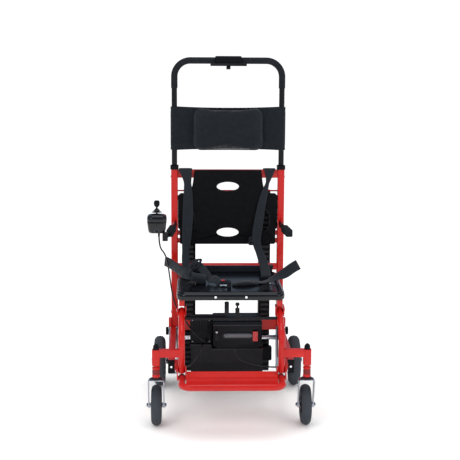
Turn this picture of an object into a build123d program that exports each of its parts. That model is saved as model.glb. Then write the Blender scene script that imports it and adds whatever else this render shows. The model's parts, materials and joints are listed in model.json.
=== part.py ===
from build123d import *
import math
import os

# A powered stair chair: a red tube frame on casters and rear wheels, a pair of
# rubber tracks behind the back, a telescopic push handle, soft headrest, hinged
# seat, footrest and armrests. Millimetres, +Z up, the chair faces -Y, +X is the
# side of the plain armrest, and the origin is on the floor under the middle.

# ---------------------------------------------------------------- overall layout
REAR_AXLE_Y = 261.5
WHEELBASE = 501.0
CASTER_TRAIL = 35.0
WHEEL_X = 276.0
CASTER_AXLE_Y = REAR_AXLE_Y - WHEELBASE
STEM_Y = CASTER_AXLE_Y - CASTER_TRAIL
SIDES = (("left", -1), ("right", 1))

# wheels
REAR_WHEEL_R = 101.5
REAR_TYRE_WIDTH = 46.0
REAR_RIM_R = 70.0
REAR_AXLE_R = 6.0
CASTER_R = 75.0
CASTER_TYRE_WIDTH = 38.0
CASTER_RIM_R = 48.0
CASTER_AXLE_R = 4.0
RUNNING_GAP = 0.05
FREE_GAP = 0.3

# back frame
UPRIGHT_X = 215.0
UPRIGHT_Y = REAR_AXLE_Y + 32
UPRIGHT_WIDTH = 27.0
UPRIGHT_DEPTH = 38.0
UPRIGHT_TOP = 890.0
TUBE_WALL = 2.0
INNER_X = UPRIGHT_X - UPRIGHT_WIDTH / 2
UPRIGHT_FRONT = UPRIGHT_Y - UPRIGHT_DEPTH / 2

# side rails
RAIL_X = 221.0
RAIL_WIDTH = 25.0
RAIL_TOP = 241.0
RAIL_BOTTOM = 191.0
RAIL_FRONT = STEM_Y + 56
RAIL_REAR = UPRIGHT_Y + UPRIGHT_DEPTH / 2
RAIL_INNER = RAIL_X - RAIL_WIDTH / 2
RAIL_OUTER = RAIL_X + RAIL_WIDTH / 2

# front legs and outriggers
LEG_X = 183.0
LEG_R = 12.5
LEG_TOP = (LEG_X, STEM_Y + 136, 412)
LEG_KNEE = (LEG_X, STEM_Y, 346)
LEG_FOOT = (LEG_X, STEM_Y, 209)
ARM_BOTTOM, ARM_TOP = 269.0, 296.0
HOUSING_BOTTOM = 238.0
HOUSING_WIDTH = 29.0
STEM_R = 6.0

# handle and headrest
HANDLE_R = 11.0
HANDLE_BORE = 9.5
HANDLE_TOP = 1324.0
HANDLE_FOOT = 640.0
HANDLE_BEND = 64.0
GRIP_R = 13.0
GRIP_FOOT = 1215.0
CONTROL_X = 52.0
BAND_TOP, BAND_BOTTOM = 1141.0, 969.0
BAND_HALF = 16.0
BAND_WALL = 4.0
CUSHION_HALF, CUSHION_DEPTH = 139.0, 46.0
CUSHION_LOW, CUSHION_HIGH = 971.0, 1138.0
COLLAR_TOP = 906.0

# back panel
PANEL_FRONT = UPRIGHT_FRONT - 2.5
PANEL_REAR = PANEL_FRONT + 12
PANEL_TOP, PANEL_BOTTOM = 888.0, 586.0
WING_X, WING_TOP = 201.0, 794.0

# seat
SEAT_HALF = 200.0
SEAT_FRONT, SEAT_REAR = -168.5, 231.5
SEAT_BOTTOM, SEAT_TOP = 454.0, 478.0
SEAT_HINGE = (REAR_AXLE_Y - 12, 497.0)
SEAT_TUBE = (REAR_AXLE_Y + 20, 492.0)
SEAT_TUBE_R = 14.0
SEAT_SLOT_X, SEAT_SLOT_Y = 142.0, 26.5
SEAT_RAIL_LOW, SEAT_RAIL_HIGH = 428.0, 450.0

# footrest
FOOT_HINGE = (STEM_Y, 216.0)
FOOT_TUBE_X = 181.5
FOOT_TUBE_R = 12.5
FOOT_FRONT = -386.5

# armrests
ARM_PIVOT = (258.0, 672.0)
ARM_TIP_Y = 31.5
ARM_ROOT_X, ARM_TIP_X = 210.0, 231.0
ARM_THICK = 6.0
ARM_HIGH, ARM_LOW = 683.0, 662.0

# track unit, which swings about the pivot shaft
PIVOT = (REAR_AXLE_Y + 40, 188.0)
PIVOT_R = 10.0
TRACK_Y = REAR_AXLE_Y + 98
TRACK_X = 158.0
TRACK_WIDTH = 38.0
TRACK_TOP, TRACK_FOOT = 758.5, 69.5
BELT_R = 36.5
BELT_THICK = 6.0
LUG = 3.0
LUG_PITCH_COUNT = 34
PULLEY_R = BELT_R - BELT_THICK - FREE_GAP
PLATE_X = 130.0
DRIVE_SHAFT_R = 8.0

# battery, controller and joystick
BATTERY_LOW = (-61.0, 111.5, 192.0)
BATTERY_HIGH = (134.0, 251.5, 305.0)
CONTROLLER_LOW = (-150.0, 180.0, 196.0)
CONTROLLER_HIGH = (-66.0, 251.0, 300.0)
STICK_X, STICK_Y, STICK_PIVOT_Z = -277.0, -48.5, 738.0
JOYSTICK_LOW = (-314.0, -88.0, 690.0)
JOYSTICK_HIGH = (-240.0, -9.0, 757.0)

# cables and straps
CABLE_R = 3.0
STRAP_THICK = 3.0

os.makedirs("parts", exist_ok=True)


# ---------------------------------------------------------------- shape helpers
def block(low, high, mode=Mode.ADD):
    """Add a box between its lowest and highest corners."""
    size = [b - a for a, b in zip(low, high)]
    middle = [(a + b) / 2 for a, b in zip(low, high)]
    with Locations(tuple(middle)):
        Box(*size, mode=mode)


def rod(start, end, radius, mode=Mode.ADD):
    """Add a round bar from start to end."""
    run = Vector(*end) - Vector(*start)
    with BuildSketch(Plane(origin=start, z_dir=run)) as disc:
        Circle(radius)
    extrude(disc.sketch, amount=run.length, mode=mode)


def bent_tube(points, radii, outer, bore=0.0):
    """Add a tube along straight runs joined by tangent arcs."""
    with BuildLine() as route:
        FilletPolyline(*points, radius=radii)
    with BuildSketch(Plane(origin=route.line @ 0, z_dir=route.line % 0)) as ring:
        Circle(outer)
        if bore:
            Circle(bore, mode=Mode.SUBTRACT)
    sweep(ring.sketch, path=route.wire())


def turned_x(centre, width, inner, outer, corner):
    """Add a ring about an axle along X, with its outer corners rounded."""
    across = Plane(origin=centre, x_dir=(1, 0, 0), z_dir=(0, -1, 0))
    with BuildSketch(across) as profile:
        with Locations((0, (inner + outer) / 2)):
            Rectangle(width, outer - inner)
        fillet(profile.vertices().group_by(Axis.Y)[-1], corner)
    revolve(profile.sketch, axis=Axis(centre, (1, 0, 0)))


def turned_z(centre, profile_points):
    """Add a body turned about a vertical axis, from (radius, height) points."""
    across = Plane(origin=centre, x_dir=(1, 0, 0), z_dir=(0, -1, 0))
    with BuildSketch(across) as profile:
        with BuildLine():
            Polyline(*profile_points, close=True)
        make_face()
    revolve(profile.sketch, axis=Axis(centre, (0, 0, 1)))


def side_plate(points, x_low, x_high, mode=Mode.ADD):
    """Add a flat plate of the (y, z) outline, between two x positions."""
    with BuildSketch(Plane.YZ.offset(x_low)) as plate:
        with BuildLine():
            Polyline(*points, close=True)
        make_face()
    extrude(plate.sketch, amount=x_high - x_low, mode=mode)


def bend_radii(points):
    """Give each corner of a cord's route the largest arc its runs allow."""
    radii = []
    for before, here, after in zip(points, points[1:], points[2:]):
        run_in = Vector(*here) - Vector(*before)
        run_out = Vector(*after) - Vector(*here)
        half_turn = math.radians(run_in.get_angle(run_out)) / 2
        shorter = min(run_in.length, run_out.length)
        radii.append(0.45 * shorter / math.tan(half_turn))
    return radii


def write_group(label, *pieces):
    """Write solids that stay separate, such as a bolt and its plate, as one node."""
    group = Compound(label=label, children=list(pieces))
    export_step(group, f"parts/{label}.step")


# ---------------------------------------------------------------- back frame
with BuildPart() as back_frame:
    with BuildSketch(Plane.XY.offset(RAIL_TOP)):
        with Locations((UPRIGHT_X, UPRIGHT_Y)):
            RectangleRounded(UPRIGHT_WIDTH, UPRIGHT_DEPTH, 5)
            RectangleRounded(
                UPRIGHT_WIDTH - 2 * TUBE_WALL, UPRIGHT_DEPTH - 2 * TUBE_WALL, 3, mode=Mode.SUBTRACT
            )
    extrude(amount=UPRIGHT_TOP - RAIL_TOP)
    block((0, PANEL_REAR + 0.5, 856), (INNER_X, PANEL_REAR + 22, 888))
    block((0, REAR_AXLE_Y + 8, 229), (INNER_X, REAR_AXLE_Y + 32, 271))
    rod((0, *SEAT_TUBE), (INNER_X, *SEAT_TUBE), SEAT_TUBE_R)
    rod((0, UPRIGHT_Y + 12, 801), (INNER_X, UPRIGHT_Y + 12, 801), 3)
    block((LEG_X - 10, LEG_TOP[1] - 12, SEAT_RAIL_LOW), (LEG_X + 10, UPRIGHT_Y, SEAT_RAIL_HIGH))
    block((LEG_X, UPRIGHT_Y - 16, SEAT_RAIL_LOW), (INNER_X, UPRIGHT_Y, SEAT_RAIL_HIGH))
    mirror(about=Plane.YZ)
back_frame.part.label = "back_frame"
export_step(back_frame.part, "parts/back_frame.step")

# Small red brackets on the uprights: panel tabs, armrest clevises and lock guards.
with BuildPart() as upright_brackets:
    for height in (590, 622, 765):
        block((WING_X - 14, PANEL_REAR, height), (INNER_X, PANEL_REAR + 5, height + 19))
    block((UPRIGHT_X - 13, UPRIGHT_FRONT - 5, 648), (UPRIGHT_X + 12, UPRIGHT_FRONT, 690))
    for ear_x in (ARM_ROOT_X - 8, ARM_ROOT_X + 4.5):
        side_plate(
            ((247, 660), (UPRIGHT_FRONT - 4, 652), (UPRIGHT_FRONT - 4, 690), (247, 684)), ear_x, ear_x + 4
        )
    rod((ARM_ROOT_X - 5, *ARM_PIVOT), (ARM_ROOT_X + 6, *ARM_PIVOT), 4)
    block((228.5, 268, RAIL_TOP), (240, 296, 276))
    mirror(about=Plane.YZ)
upright_brackets.part.label = "upright_brackets"
export_step(upright_brackets.part, "parts/upright_brackets.step")

# Side rails: rectangular tubes with a hole for the lock plunger.
LOCK_AT = (REAR_AXLE_Y + 20, 222.0)
with BuildPart() as side_rails:
    with BuildSketch(Plane.XZ.offset(-RAIL_FRONT)):
        with Locations((RAIL_X, (RAIL_TOP + RAIL_BOTTOM) / 2)):
            RectangleRounded(RAIL_WIDTH, RAIL_TOP - RAIL_BOTTOM, 4)
            Rectangle(
                RAIL_WIDTH - 2 * TUBE_WALL, RAIL_TOP - RAIL_BOTTOM - 2 * TUBE_WALL, mode=Mode.SUBTRACT
            )
    extrude(amount=RAIL_FRONT - RAIL_REAR)
    rod((RAIL_X, *LOCK_AT), (RAIL_OUTER + 1, *LOCK_AT), 4 + RUNNING_GAP, mode=Mode.SUBTRACT)
    mirror(about=Plane.YZ)
side_rails.part.label = "side_rails"
export_step(side_rails.part, "parts/side_rails.step")

# Front legs: a bent tube, a clevis under the seat corner and a gusset to the rail.
with BuildPart() as legs:
    bent_tube((LEG_TOP, LEG_KNEE, LEG_FOOT), (60,), LEG_R, LEG_R - TUBE_WALL)
    for ear_x in (LEG_X - 17, LEG_X + 12.5):
        side_plate(
            ((-160, 392), (-140, 396), (-118, SEAT_RAIL_LOW), (-168, SEAT_RAIL_LOW)), ear_x, ear_x + 4.5
        )
    block((LEG_X - 4, STEM_Y + 11.6, 209), (LEG_X + LEG_R, STEM_Y + 74, 237))
    block((LEG_X + LEG_R, STEM_Y + 18.5, 209), (RAIL_INNER, STEM_Y + 74, 237))
    rod((LEG_X - 20, *FOOT_HINGE), (LEG_X + 20, *FOOT_HINGE), 4 + RUNNING_GAP, mode=Mode.SUBTRACT)
    mirror(about=Plane.YZ)
legs.part.label = "legs"
export_step(legs.part, "parts/legs.step")

# Outriggers: the arm from each leg, the caster housing and its stem collars.
with BuildPart() as outriggers:
    block((LEG_X, STEM_Y - 12.5, ARM_BOTTOM), (WHEEL_X, STEM_Y + 12.5, ARM_TOP))
    rod((LEG_X, STEM_Y, ARM_BOTTOM), (LEG_X, STEM_Y, ARM_TOP), LEG_R, mode=Mode.SUBTRACT)
    with BuildSketch(Plane.XY.offset(HOUSING_BOTTOM)):
        with Locations((WHEEL_X, STEM_Y)):
            RectangleRounded(HOUSING_WIDTH, HOUSING_WIDTH, 6)
    extrude(amount=ARM_TOP - HOUSING_BOTTOM)
    turned_z(
        (WHEEL_X, STEM_Y, 0),
        (
            (0, 238), (10, 238), (10, 232), (14.5, 230), (14.5, 225), (12.5, 222),
            (12.5, 203), (14.5, 200), (14.5, 194), (12, 191), (0, 191),
        ),
    )
    rod((WHEEL_X, STEM_Y, 180), (WHEEL_X, STEM_Y, 280), STEM_R + RUNNING_GAP, mode=Mode.SUBTRACT)
    mirror(about=Plane.YZ)
outriggers.part.label = "outriggers"
export_step(outriggers.part, "parts/outriggers.step")

# Black plastic end pieces: domes on the caster housings, plugs in the side rails.
with BuildPart() as end_caps:
    turned_z(
        (WHEEL_X, STEM_Y, ARM_TOP),
        ((0, 0), (11, 0), (11, 9), (9.5, 15), (6.5, 19), (3, 21.5), (0, 22)),
    )
    for low_y in (RAIL_FRONT - 5, RAIL_REAR):
        block((RAIL_INNER, low_y, RAIL_BOTTOM), (RAIL_OUTER, low_y + 5, RAIL_TOP))
    mirror(about=Plane.YZ)
end_caps.part.label = "end_caps"
export_step(end_caps.part, "parts/end_caps.step")

with BuildPart() as upright_collars:
    with BuildSketch(Plane.XY.offset(UPRIGHT_TOP)):
        with Locations((UPRIGHT_X, UPRIGHT_Y)):
            RectangleRounded(UPRIGHT_WIDTH + 6, UPRIGHT_DEPTH + 6, 8)
            Circle(HANDLE_R + FREE_GAP, mode=Mode.SUBTRACT)
    extrude(amount=COLLAR_TOP - UPRIGHT_TOP)
    mirror(about=Plane.YZ)
upright_collars.part.label = "upright_collars"
export_step(upright_collars.part, "parts/upright_collars.step")

# ---------------------------------------------------------------- axles
# Each rear bracket is a channel of plate hung on the rail, with a hub boss.
BRACKET_THICK = 6.0
BRACKET_SIDE = ((206, 66), (300, 66), (320, 150), (320, 230), (262, 230), (206, 130))
with BuildPart() as axle_brackets:
    for plate_x in (RAIL_INNER - BRACKET_THICK, RAIL_OUTER):
        side_plate(BRACKET_SIDE, plate_x, plate_x + BRACKET_THICK)
    block((RAIL_INNER - BRACKET_THICK, 206, 60), (RAIL_OUTER + BRACKET_THICK, 300, 66))
    rod((RAIL_OUTER, REAR_AXLE_Y, REAR_WHEEL_R), (250, REAR_AXLE_Y, REAR_WHEEL_R), 14)
    rod(
        (200, REAR_AXLE_Y, REAR_WHEEL_R), (251, REAR_AXLE_Y, REAR_WHEEL_R), REAR_AXLE_R, mode=Mode.SUBTRACT
    )
    rod((200, *PIVOT), (RAIL_INNER, *PIVOT), PIVOT_R, mode=Mode.SUBTRACT)
    rod((RAIL_OUTER, *LOCK_AT), (241, *LOCK_AT), 4 + RUNNING_GAP, mode=Mode.SUBTRACT)
    mirror(about=Plane.YZ)
axle_brackets.part.label = "axle_brackets"
export_step(axle_brackets.part, "parts/axle_brackets.step")

# Bright steel: the rear stub axles with their nuts, the bolts that hold the rail
# plugs, and the track pivot shaft.
with BuildPart() as axles:
    rod((202.5, REAR_AXLE_Y, REAR_WHEEL_R), (306, REAR_AXLE_Y, REAR_WHEEL_R), REAR_AXLE_R)
    with BuildSketch(Plane.YZ.offset(301)):
        with Locations((REAR_AXLE_Y, REAR_WHEEL_R)):
            RegularPolygon(10.5, 6)
    extrude(amount=9)
    rod((RAIL_X, RAIL_FRONT - 9, 216), (RAIL_X, RAIL_FRONT - 5, 216), 4)
    mirror(about=Plane.YZ)
with BuildPart() as pivot_shaft:
    rod((-RAIL_INNER, *PIVOT), (RAIL_INNER, *PIVOT), PIVOT_R)
write_group("axles", *axles.part.solids(), pivot_shaft.part)

# ---------------------------------------------------------------- back panel
PANEL_OUTLINE = (
    (0, PANEL_TOP), (134, PANEL_TOP), (142, 830), (152, WING_TOP), (191, WING_TOP),
    (WING_X, WING_TOP - 10), (WING_X, 652), (194, 647), (194, PANEL_BOTTOM + 5),
    (189, PANEL_BOTTOM), (0, PANEL_BOTTOM),
)
with BuildPart() as back_panel:
    with BuildSketch(Plane.XZ.offset(-PANEL_FRONT)):
        with BuildLine():
            Polyline(*PANEL_OUTLINE, close=True)
        make_face()
        mirror(about=Plane.YZ)
        with Locations((0, 822), (0, 635)):
            Ellipse(45, 19, mode=Mode.SUBTRACT)
        with Locations((-151, 684), (151, 684)):
            Ellipse(18, 43, mode=Mode.SUBTRACT)
    extrude(amount=-(PANEL_REAR - PANEL_FRONT))
    chamfer(back_panel.faces().sort_by(Axis.Y)[0].outer_wire().edges(), 2)
back_panel.part.label = "back_panel"
export_step(back_panel.part, "parts/back_panel.step")

# ---------------------------------------------------------------- wheels
for side, sign in SIDES:
    hub = (sign * WHEEL_X, REAR_AXLE_Y, REAR_WHEEL_R)
    with BuildPart() as rear_tyre:
        turned_x(hub, REAR_TYRE_WIDTH, REAR_RIM_R, REAR_WHEEL_R, 17)
    rear_tyre.part.label = f"rear_tyre_{side}"
    export_step(rear_tyre.part, f"parts/rear_tyre_{side}.step")

    with BuildPart() as rear_rim:
        turned_x(hub, 34, REAR_RIM_R - 8, REAR_RIM_R, 2)
        turned_x(hub, 12, 20, REAR_RIM_R - 7, 1)
        turned_x(hub, 44, REAR_AXLE_R + RUNNING_GAP, 24, 3)
    rear_rim.part.label = f"rear_rim_{side}"
    export_step(rear_rim.part, f"parts/rear_rim_{side}.step")

    caster = (sign * WHEEL_X, CASTER_AXLE_Y, CASTER_R)
    with BuildPart() as caster_tyre:
        turned_x(caster, CASTER_TYRE_WIDTH, CASTER_RIM_R, CASTER_R, 15)
    caster_tyre.part.label = f"caster_tyre_{side}"
    export_step(caster_tyre.part, f"parts/caster_tyre_{side}.step")

    with BuildPart() as caster_rim:
        turned_x(caster, 28, CASTER_RIM_R - 6, CASTER_RIM_R, 2)
        turned_x(caster, 10, 14, CASTER_RIM_R - 5, 1)
        turned_x(caster, 36, CASTER_AXLE_R + RUNNING_GAP, 16, 2)
    caster_rim.part.label = f"caster_rim_{side}"
    export_step(caster_rim.part, f"parts/caster_rim_{side}.step")

# Caster forks: a bent plate fork with its stem, and the axle, nuts and spacers.
FORK_X = 26.0
FORK_THICK = 4.0
FORK_TOP = 184.0
FORK_LEG = (
    (STEM_Y - 17, FORK_TOP), (STEM_Y + 17, FORK_TOP), (CASTER_AXLE_Y + 11, CASTER_R + 8),
    (CASTER_AXLE_Y + 8, CASTER_R - 10), (CASTER_AXLE_Y - 8, CASTER_R - 10), (CASTER_AXLE_Y - 12, CASTER_R + 8),
)
for side, sign in SIDES:
    stem_x = sign * WHEEL_X
    axle_low = (stem_x - 37.5, CASTER_AXLE_Y, CASTER_R)
    axle_high = (stem_x + 37.5, CASTER_AXLE_Y, CASTER_R)
    with BuildPart() as fork:
        side_plate(FORK_LEG, stem_x - FORK_X - FORK_THICK, stem_x + FORK_X + FORK_THICK)
        block(
            (stem_x - FORK_X, STEM_Y - 20, 0), (stem_x + FORK_X, CASTER_AXLE_Y + 20, FORK_TOP - FORK_THICK),
            mode=Mode.SUBTRACT,
        )
        fillet(fork.edges().filter_by(Axis.Y).group_by(Axis.Z)[-1], 9)
        turned_z(
            (stem_x, STEM_Y, 0),
            ((0, FORK_TOP), (15, FORK_TOP), (13, 190.5), (STEM_R, 190.5), (STEM_R, 280), (0, 280)),
        )
        rod(axle_low, axle_high, CASTER_AXLE_R, mode=Mode.SUBTRACT)
    with BuildPart() as caster_axle:
        rod(axle_low, axle_high, CASTER_AXLE_R)
        for nut_x in (stem_x - FORK_X - FORK_THICK - 6, stem_x + FORK_X + FORK_THICK):
            with BuildSketch(Plane.YZ.offset(nut_x)):
                with Locations((CASTER_AXLE_Y, CASTER_R)):
                    RegularPolygon(7.5, 6)
            extrude(amount=6)
    with BuildPart() as spacers:
        for spacer_x in (stem_x - FORK_X, stem_x + FORK_X - 7.5):
            rod((spacer_x, CASTER_AXLE_Y, CASTER_R), (spacer_x + 7.5, CASTER_AXLE_Y, CASTER_R), 9)
        rod(axle_low, axle_high, CASTER_AXLE_R, mode=Mode.SUBTRACT)
    write_group(f"caster_fork_{side}", fork.part, caster_axle.part, *spacers.part.solids())

# ---------------------------------------------------------------- track unit
LUG_WIDTH = 9.0
STRAIGHT = TRACK_TOP - TRACK_FOOT
with BuildPart() as track_belts:
    with BuildSketch(Plane.YZ.offset(TRACK_X - TRACK_WIDTH / 2)):
        with Locations(Location((TRACK_Y, (TRACK_TOP + TRACK_FOOT) / 2), 90)):
            SlotCenterToCenter(STRAIGHT, 2 * BELT_R)
            SlotCenterToCenter(STRAIGHT, 2 * (BELT_R - BELT_THICK), mode=Mode.SUBTRACT)
        for number in range(LUG_PITCH_COUNT):
            height = TRACK_FOOT + (number + 0.5) * STRAIGHT / LUG_PITCH_COUNT
            with Locations((TRACK_Y - BELT_R, height), (TRACK_Y + BELT_R, height)):
                Rectangle(2 * LUG, LUG_WIDTH)
        for end_z, first_turn in ((TRACK_TOP, 15), (TRACK_FOOT, 195)):
            with Locations((TRACK_Y, end_z)):
                with PolarLocations(BELT_R, 6, start_angle=first_turn, angular_range=150, endpoint=True):
                    Rectangle(2 * LUG, LUG_WIDTH)
    extrude(amount=TRACK_WIDTH)
    mirror(about=Plane.YZ)
track_belts.part.label = "track_belts"
export_step(track_belts.part, "parts/track_belts.step")

# Track beams: a bar inside each belt, a side plate, and a lug on the pivot shaft.
PLATE_THICK = 6.0
BEAM_HALF = 22.0
with BuildPart() as track_beams:
    block(
        (PLATE_X, TRACK_Y - BEAM_HALF, TRACK_FOOT + PULLEY_R + 6),
        (TRACK_X + 14, TRACK_Y + BEAM_HALF, TRACK_TOP - PULLEY_R - 6),
    )
    side_plate(
        (
            (TRACK_Y - 22, 44), (TRACK_Y + 22, 44), (TRACK_Y + 22, 784), (TRACK_Y - 22, 784),
            (TRACK_Y - 22, 260), (PIVOT[0] - 15, 206), (PIVOT[0] - 15, 174), (TRACK_Y - 22, 174),
        ),
        PLATE_X, PLATE_X + PLATE_THICK,
    )
    rod((PLATE_X - 12, *PIVOT), (PLATE_X + PLATE_THICK, *PIVOT), 16)
    rod((PLATE_X - 20, *PIVOT), (PLATE_X + 20, *PIVOT), PIVOT_R + RUNNING_GAP, mode=Mode.SUBTRACT)
    for shaft_z in (TRACK_FOOT, TRACK_TOP):
        rod(
            (PLATE_X - 1, TRACK_Y, shaft_z), (PLATE_X + 8, TRACK_Y, shaft_z), DRIVE_SHAFT_R + RUNNING_GAP,
            mode=Mode.SUBTRACT,
        )
    mirror(about=Plane.YZ)
    for height in (228, 700):
        block((-PLATE_X, TRACK_Y - 10, height), (PLATE_X, TRACK_Y + 10, height + 28))
track_beams.part.label = "track_beams"
export_step(track_beams.part, "parts/track_beams.step")

# The lower shaft is driven and the upper one idles; each carries two pulleys.
for name, shaft_z in (("drive_pulleys", TRACK_FOOT), ("idler_pulleys", TRACK_TOP)):
    with BuildPart() as pulleys:
        rod((-TRACK_X - 17, TRACK_Y, shaft_z), (TRACK_X + 17, TRACK_Y, shaft_z), DRIVE_SHAFT_R)
        for sign in (-1, 1):
            rod(
                (sign * (PLATE_X + 8), TRACK_Y, shaft_z), (sign * (TRACK_X + 16), TRACK_Y, shaft_z), PULLEY_R
            )
    pulleys.part.label = name
    export_step(pulleys.part, f"parts/{name}.step")

# Drive housing: a folded front cover and the gearcase box behind it.
COVER_TOP, COVER_BOTTOM = 168.0, 37.0
COVER_SIDE = ((291.5, COVER_TOP), (287, 84), (295, COVER_BOTTOM), (317, COVER_BOTTOM), (317, COVER_TOP))
COVER_HOLLOW = ((295, COVER_TOP - 3), (290.5, 84), (298, 40), (318, 40), (318, COVER_TOP - 3))
with BuildPart() as drive_housing:
    side_plate(COVER_SIDE, -149, 149)
    side_plate(COVER_HOLLOW, -146, 146, mode=Mode.SUBTRACT)
    block((-126, 317, 42), (126, 392, 165))
    block((-122, 314, 46), (122, 388, 161), mode=Mode.SUBTRACT)
    rod(
        (-140, TRACK_Y, TRACK_FOOT), (140, TRACK_Y, TRACK_FOOT), DRIVE_SHAFT_R + RUNNING_GAP,
        mode=Mode.SUBTRACT,
    )
    block((126, 330, 110), (PLATE_X, 380, 150))
    mirror(about=Plane.YZ)
drive_housing.part.label = "drive_housing"
export_step(drive_housing.part, "parts/drive_housing.step")

with BuildPart() as drive_motor:
    block((149, 290, 92), (186, 317, 150))
    fillet(drive_motor.edges().filter_by(Axis.Y), 5)
    rod((-122, 350, 119), (60, 350, 119), 33)
drive_motor.part.label = "drive_motor"
export_step(drive_motor.part, "parts/drive_motor.step")

# ---------------------------------------------------------------- push handle
HANDLE_ROUTE = (
    (-UPRIGHT_X, UPRIGHT_Y, HANDLE_FOOT), (-UPRIGHT_X, UPRIGHT_Y, HANDLE_TOP),
    (UPRIGHT_X, UPRIGHT_Y, HANDLE_TOP), (UPRIGHT_X, UPRIGHT_Y, HANDLE_FOOT),
)
with BuildPart() as handle_tube:
    bent_tube(HANDLE_ROUTE, (HANDLE_BEND, HANDLE_BEND), HANDLE_R, HANDLE_BORE)
handle_tube.part.label = "handle_tube"
export_step(handle_tube.part, "parts/handle_tube.step")

with BuildPart() as handle_grips:
    grip_route = ((CONTROL_X, UPRIGHT_Y, HANDLE_TOP), HANDLE_ROUTE[2], (UPRIGHT_X, UPRIGHT_Y, GRIP_FOOT))
    bent_tube(grip_route, (HANDLE_BEND,), GRIP_R, HANDLE_R + RUNNING_GAP)
    mirror(about=Plane.YZ)
handle_grips.part.label = "handle_grips"
export_step(handle_grips.part, "parts/handle_grips.step")

CONTROL_FRONT = UPRIGHT_Y - 28
CONTROL_BOTTOM = 1303.0
KNOB_Z = 1297.0
with BuildPart() as handle_controller:
    block((-CONTROL_X, CONTROL_FRONT, CONTROL_BOTTOM), (CONTROL_X, UPRIGHT_Y + 18, 1342))
    fillet(handle_controller.edges().filter_by(Axis.X), 9)
    fillet(handle_controller.edges().filter_by(Axis.Y), 4)
    block((-8, CONTROL_FRONT + 3, KNOB_Z - 7), (8, CONTROL_FRONT + 22, CONTROL_BOTTOM + 10))
    rod(
        (-60, UPRIGHT_Y, HANDLE_TOP), (60, UPRIGHT_Y, HANDLE_TOP), HANDLE_R + RUNNING_GAP, mode=Mode.SUBTRACT
    )
    block((-11, CONTROL_FRONT - 1, 1304.5), (11, CONTROL_FRONT + 12, 1312.5), mode=Mode.SUBTRACT)
handle_controller.part.label = "handle_controller"
export_step(handle_controller.part, "parts/handle_controller.step")

# Squeeze paddle across the front of the controller, with its tongue in the slot.
PADDLE_REAR = CONTROL_FRONT - 5.5
with BuildPart() as handle_paddle:
    block((-72, PADDLE_REAR - 8, 1303.5), (72, PADDLE_REAR, 1313.5))
    fillet(handle_paddle.edges().filter_by(Axis.X), 3)
    block((-10, PADDLE_REAR - 1, 1305), (10, CONTROL_FRONT + 5, 1312))
handle_paddle.part.label = "handle_paddle"
export_step(handle_paddle.part, "parts/handle_paddle.step")

with BuildPart() as handle_knob:
    with BuildSketch(Plane.XZ.offset(-CONTROL_FRONT - 2.7)):
        with Locations((0, KNOB_Z)):
            Circle(5.5)
    extrude(amount=10)
    chamfer(handle_knob.edges().group_by(Axis.Y)[0], 1.5)
handle_knob.part.label = "handle_knob"
export_step(handle_knob.part, "parts/handle_knob.step")

# ---------------------------------------------------------------- headrest
BAND_X = UPRIGHT_X + BAND_HALF
with BuildPart() as headrest_band:
    with BuildSketch(Plane.XY.offset(BAND_BOTTOM)):
        with Locations((0, UPRIGHT_Y)):
            RectangleRounded(2 * BAND_X, 2 * BAND_HALF, BAND_HALF - 0.5)
            RectangleRounded(
                2 * (BAND_X - BAND_WALL), 2 * (BAND_HALF - BAND_WALL), BAND_HALF - BAND_WALL - 0.5,
                mode=Mode.SUBTRACT,
            )
    extrude(amount=BAND_TOP - BAND_BOTTOM)
headrest_band.part.label = "headrest_band"
export_step(headrest_band.part, "parts/headrest_band.step")

with BuildPart() as headrest_cushion:
    block(
        (-CUSHION_HALF, UPRIGHT_Y - BAND_HALF - CUSHION_DEPTH, CUSHION_LOW),
        (CUSHION_HALF, UPRIGHT_Y - BAND_HALF, CUSHION_HIGH),
    )
    fillet(headrest_cushion.edges().filter_by(Axis.Y), 24)
    fillet(headrest_cushion.faces().sort_by(Axis.Y)[0].edges(), 14)
headrest_cushion.part.label = "headrest_cushion"
export_step(headrest_cushion.part, "parts/headrest_cushion.step")

# ---------------------------------------------------------------- armrests
def arm_outline(half, rear_y, front_y):
    """Plan outline of a bar along the splayed armrest, half being its half width."""
    slope = (ARM_TIP_X - ARM_ROOT_X) / (ARM_PIVOT[0] - ARM_TIP_Y)
    rear_x = ARM_ROOT_X + slope * (ARM_PIVOT[0] - rear_y)
    front_x = ARM_ROOT_X + slope * (ARM_PIVOT[0] - front_y)
    return ((rear_x - half, rear_y), (rear_x + half, rear_y), (front_x + half, front_y), (front_x - half, front_y))


PAD_REAR_Y = 150.0
with BuildPart() as arm_plate:
    with BuildSketch(Plane.XY.offset(ARM_LOW)):
        with BuildLine():
            Polyline(*arm_outline(ARM_THICK / 2, ARM_PIVOT[0] + 10, ARM_TIP_Y + 4), close=True)
        make_face()
    extrude(amount=ARM_HIGH - ARM_LOW)
    rod((190, *ARM_PIVOT), (230, *ARM_PIVOT), 4 + RUNNING_GAP, mode=Mode.SUBTRACT)
    side_plate(
        ((ARM_PIVOT[0] - 2, 684), (ARM_PIVOT[0] + 12, 684), (ARM_PIVOT[0] + 12, 672)), 190, 230,
        mode=Mode.SUBTRACT,
    )
arm_plate.part.label = "arm_plate_right"
export_step(arm_plate.part, "parts/arm_plate_right.step")

with BuildPart() as arm_pad:
    with BuildSketch(Plane.XY.offset(ARM_LOW - 5)):
        with BuildLine():
            Polyline(*arm_outline(13, PAD_REAR_Y, ARM_TIP_Y), close=True)
        make_face()
    extrude(amount=ARM_HIGH - ARM_LOW + 8)
    fillet(arm_pad.edges(), 5)
    add(arm_plate.part, mode=Mode.SUBTRACT)
arm_pad.part.label = "arm_pad_right"
export_step(arm_pad.part, "parts/arm_pad_right.step")

left_plate = arm_plate.part.mirror(Plane.YZ)

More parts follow.
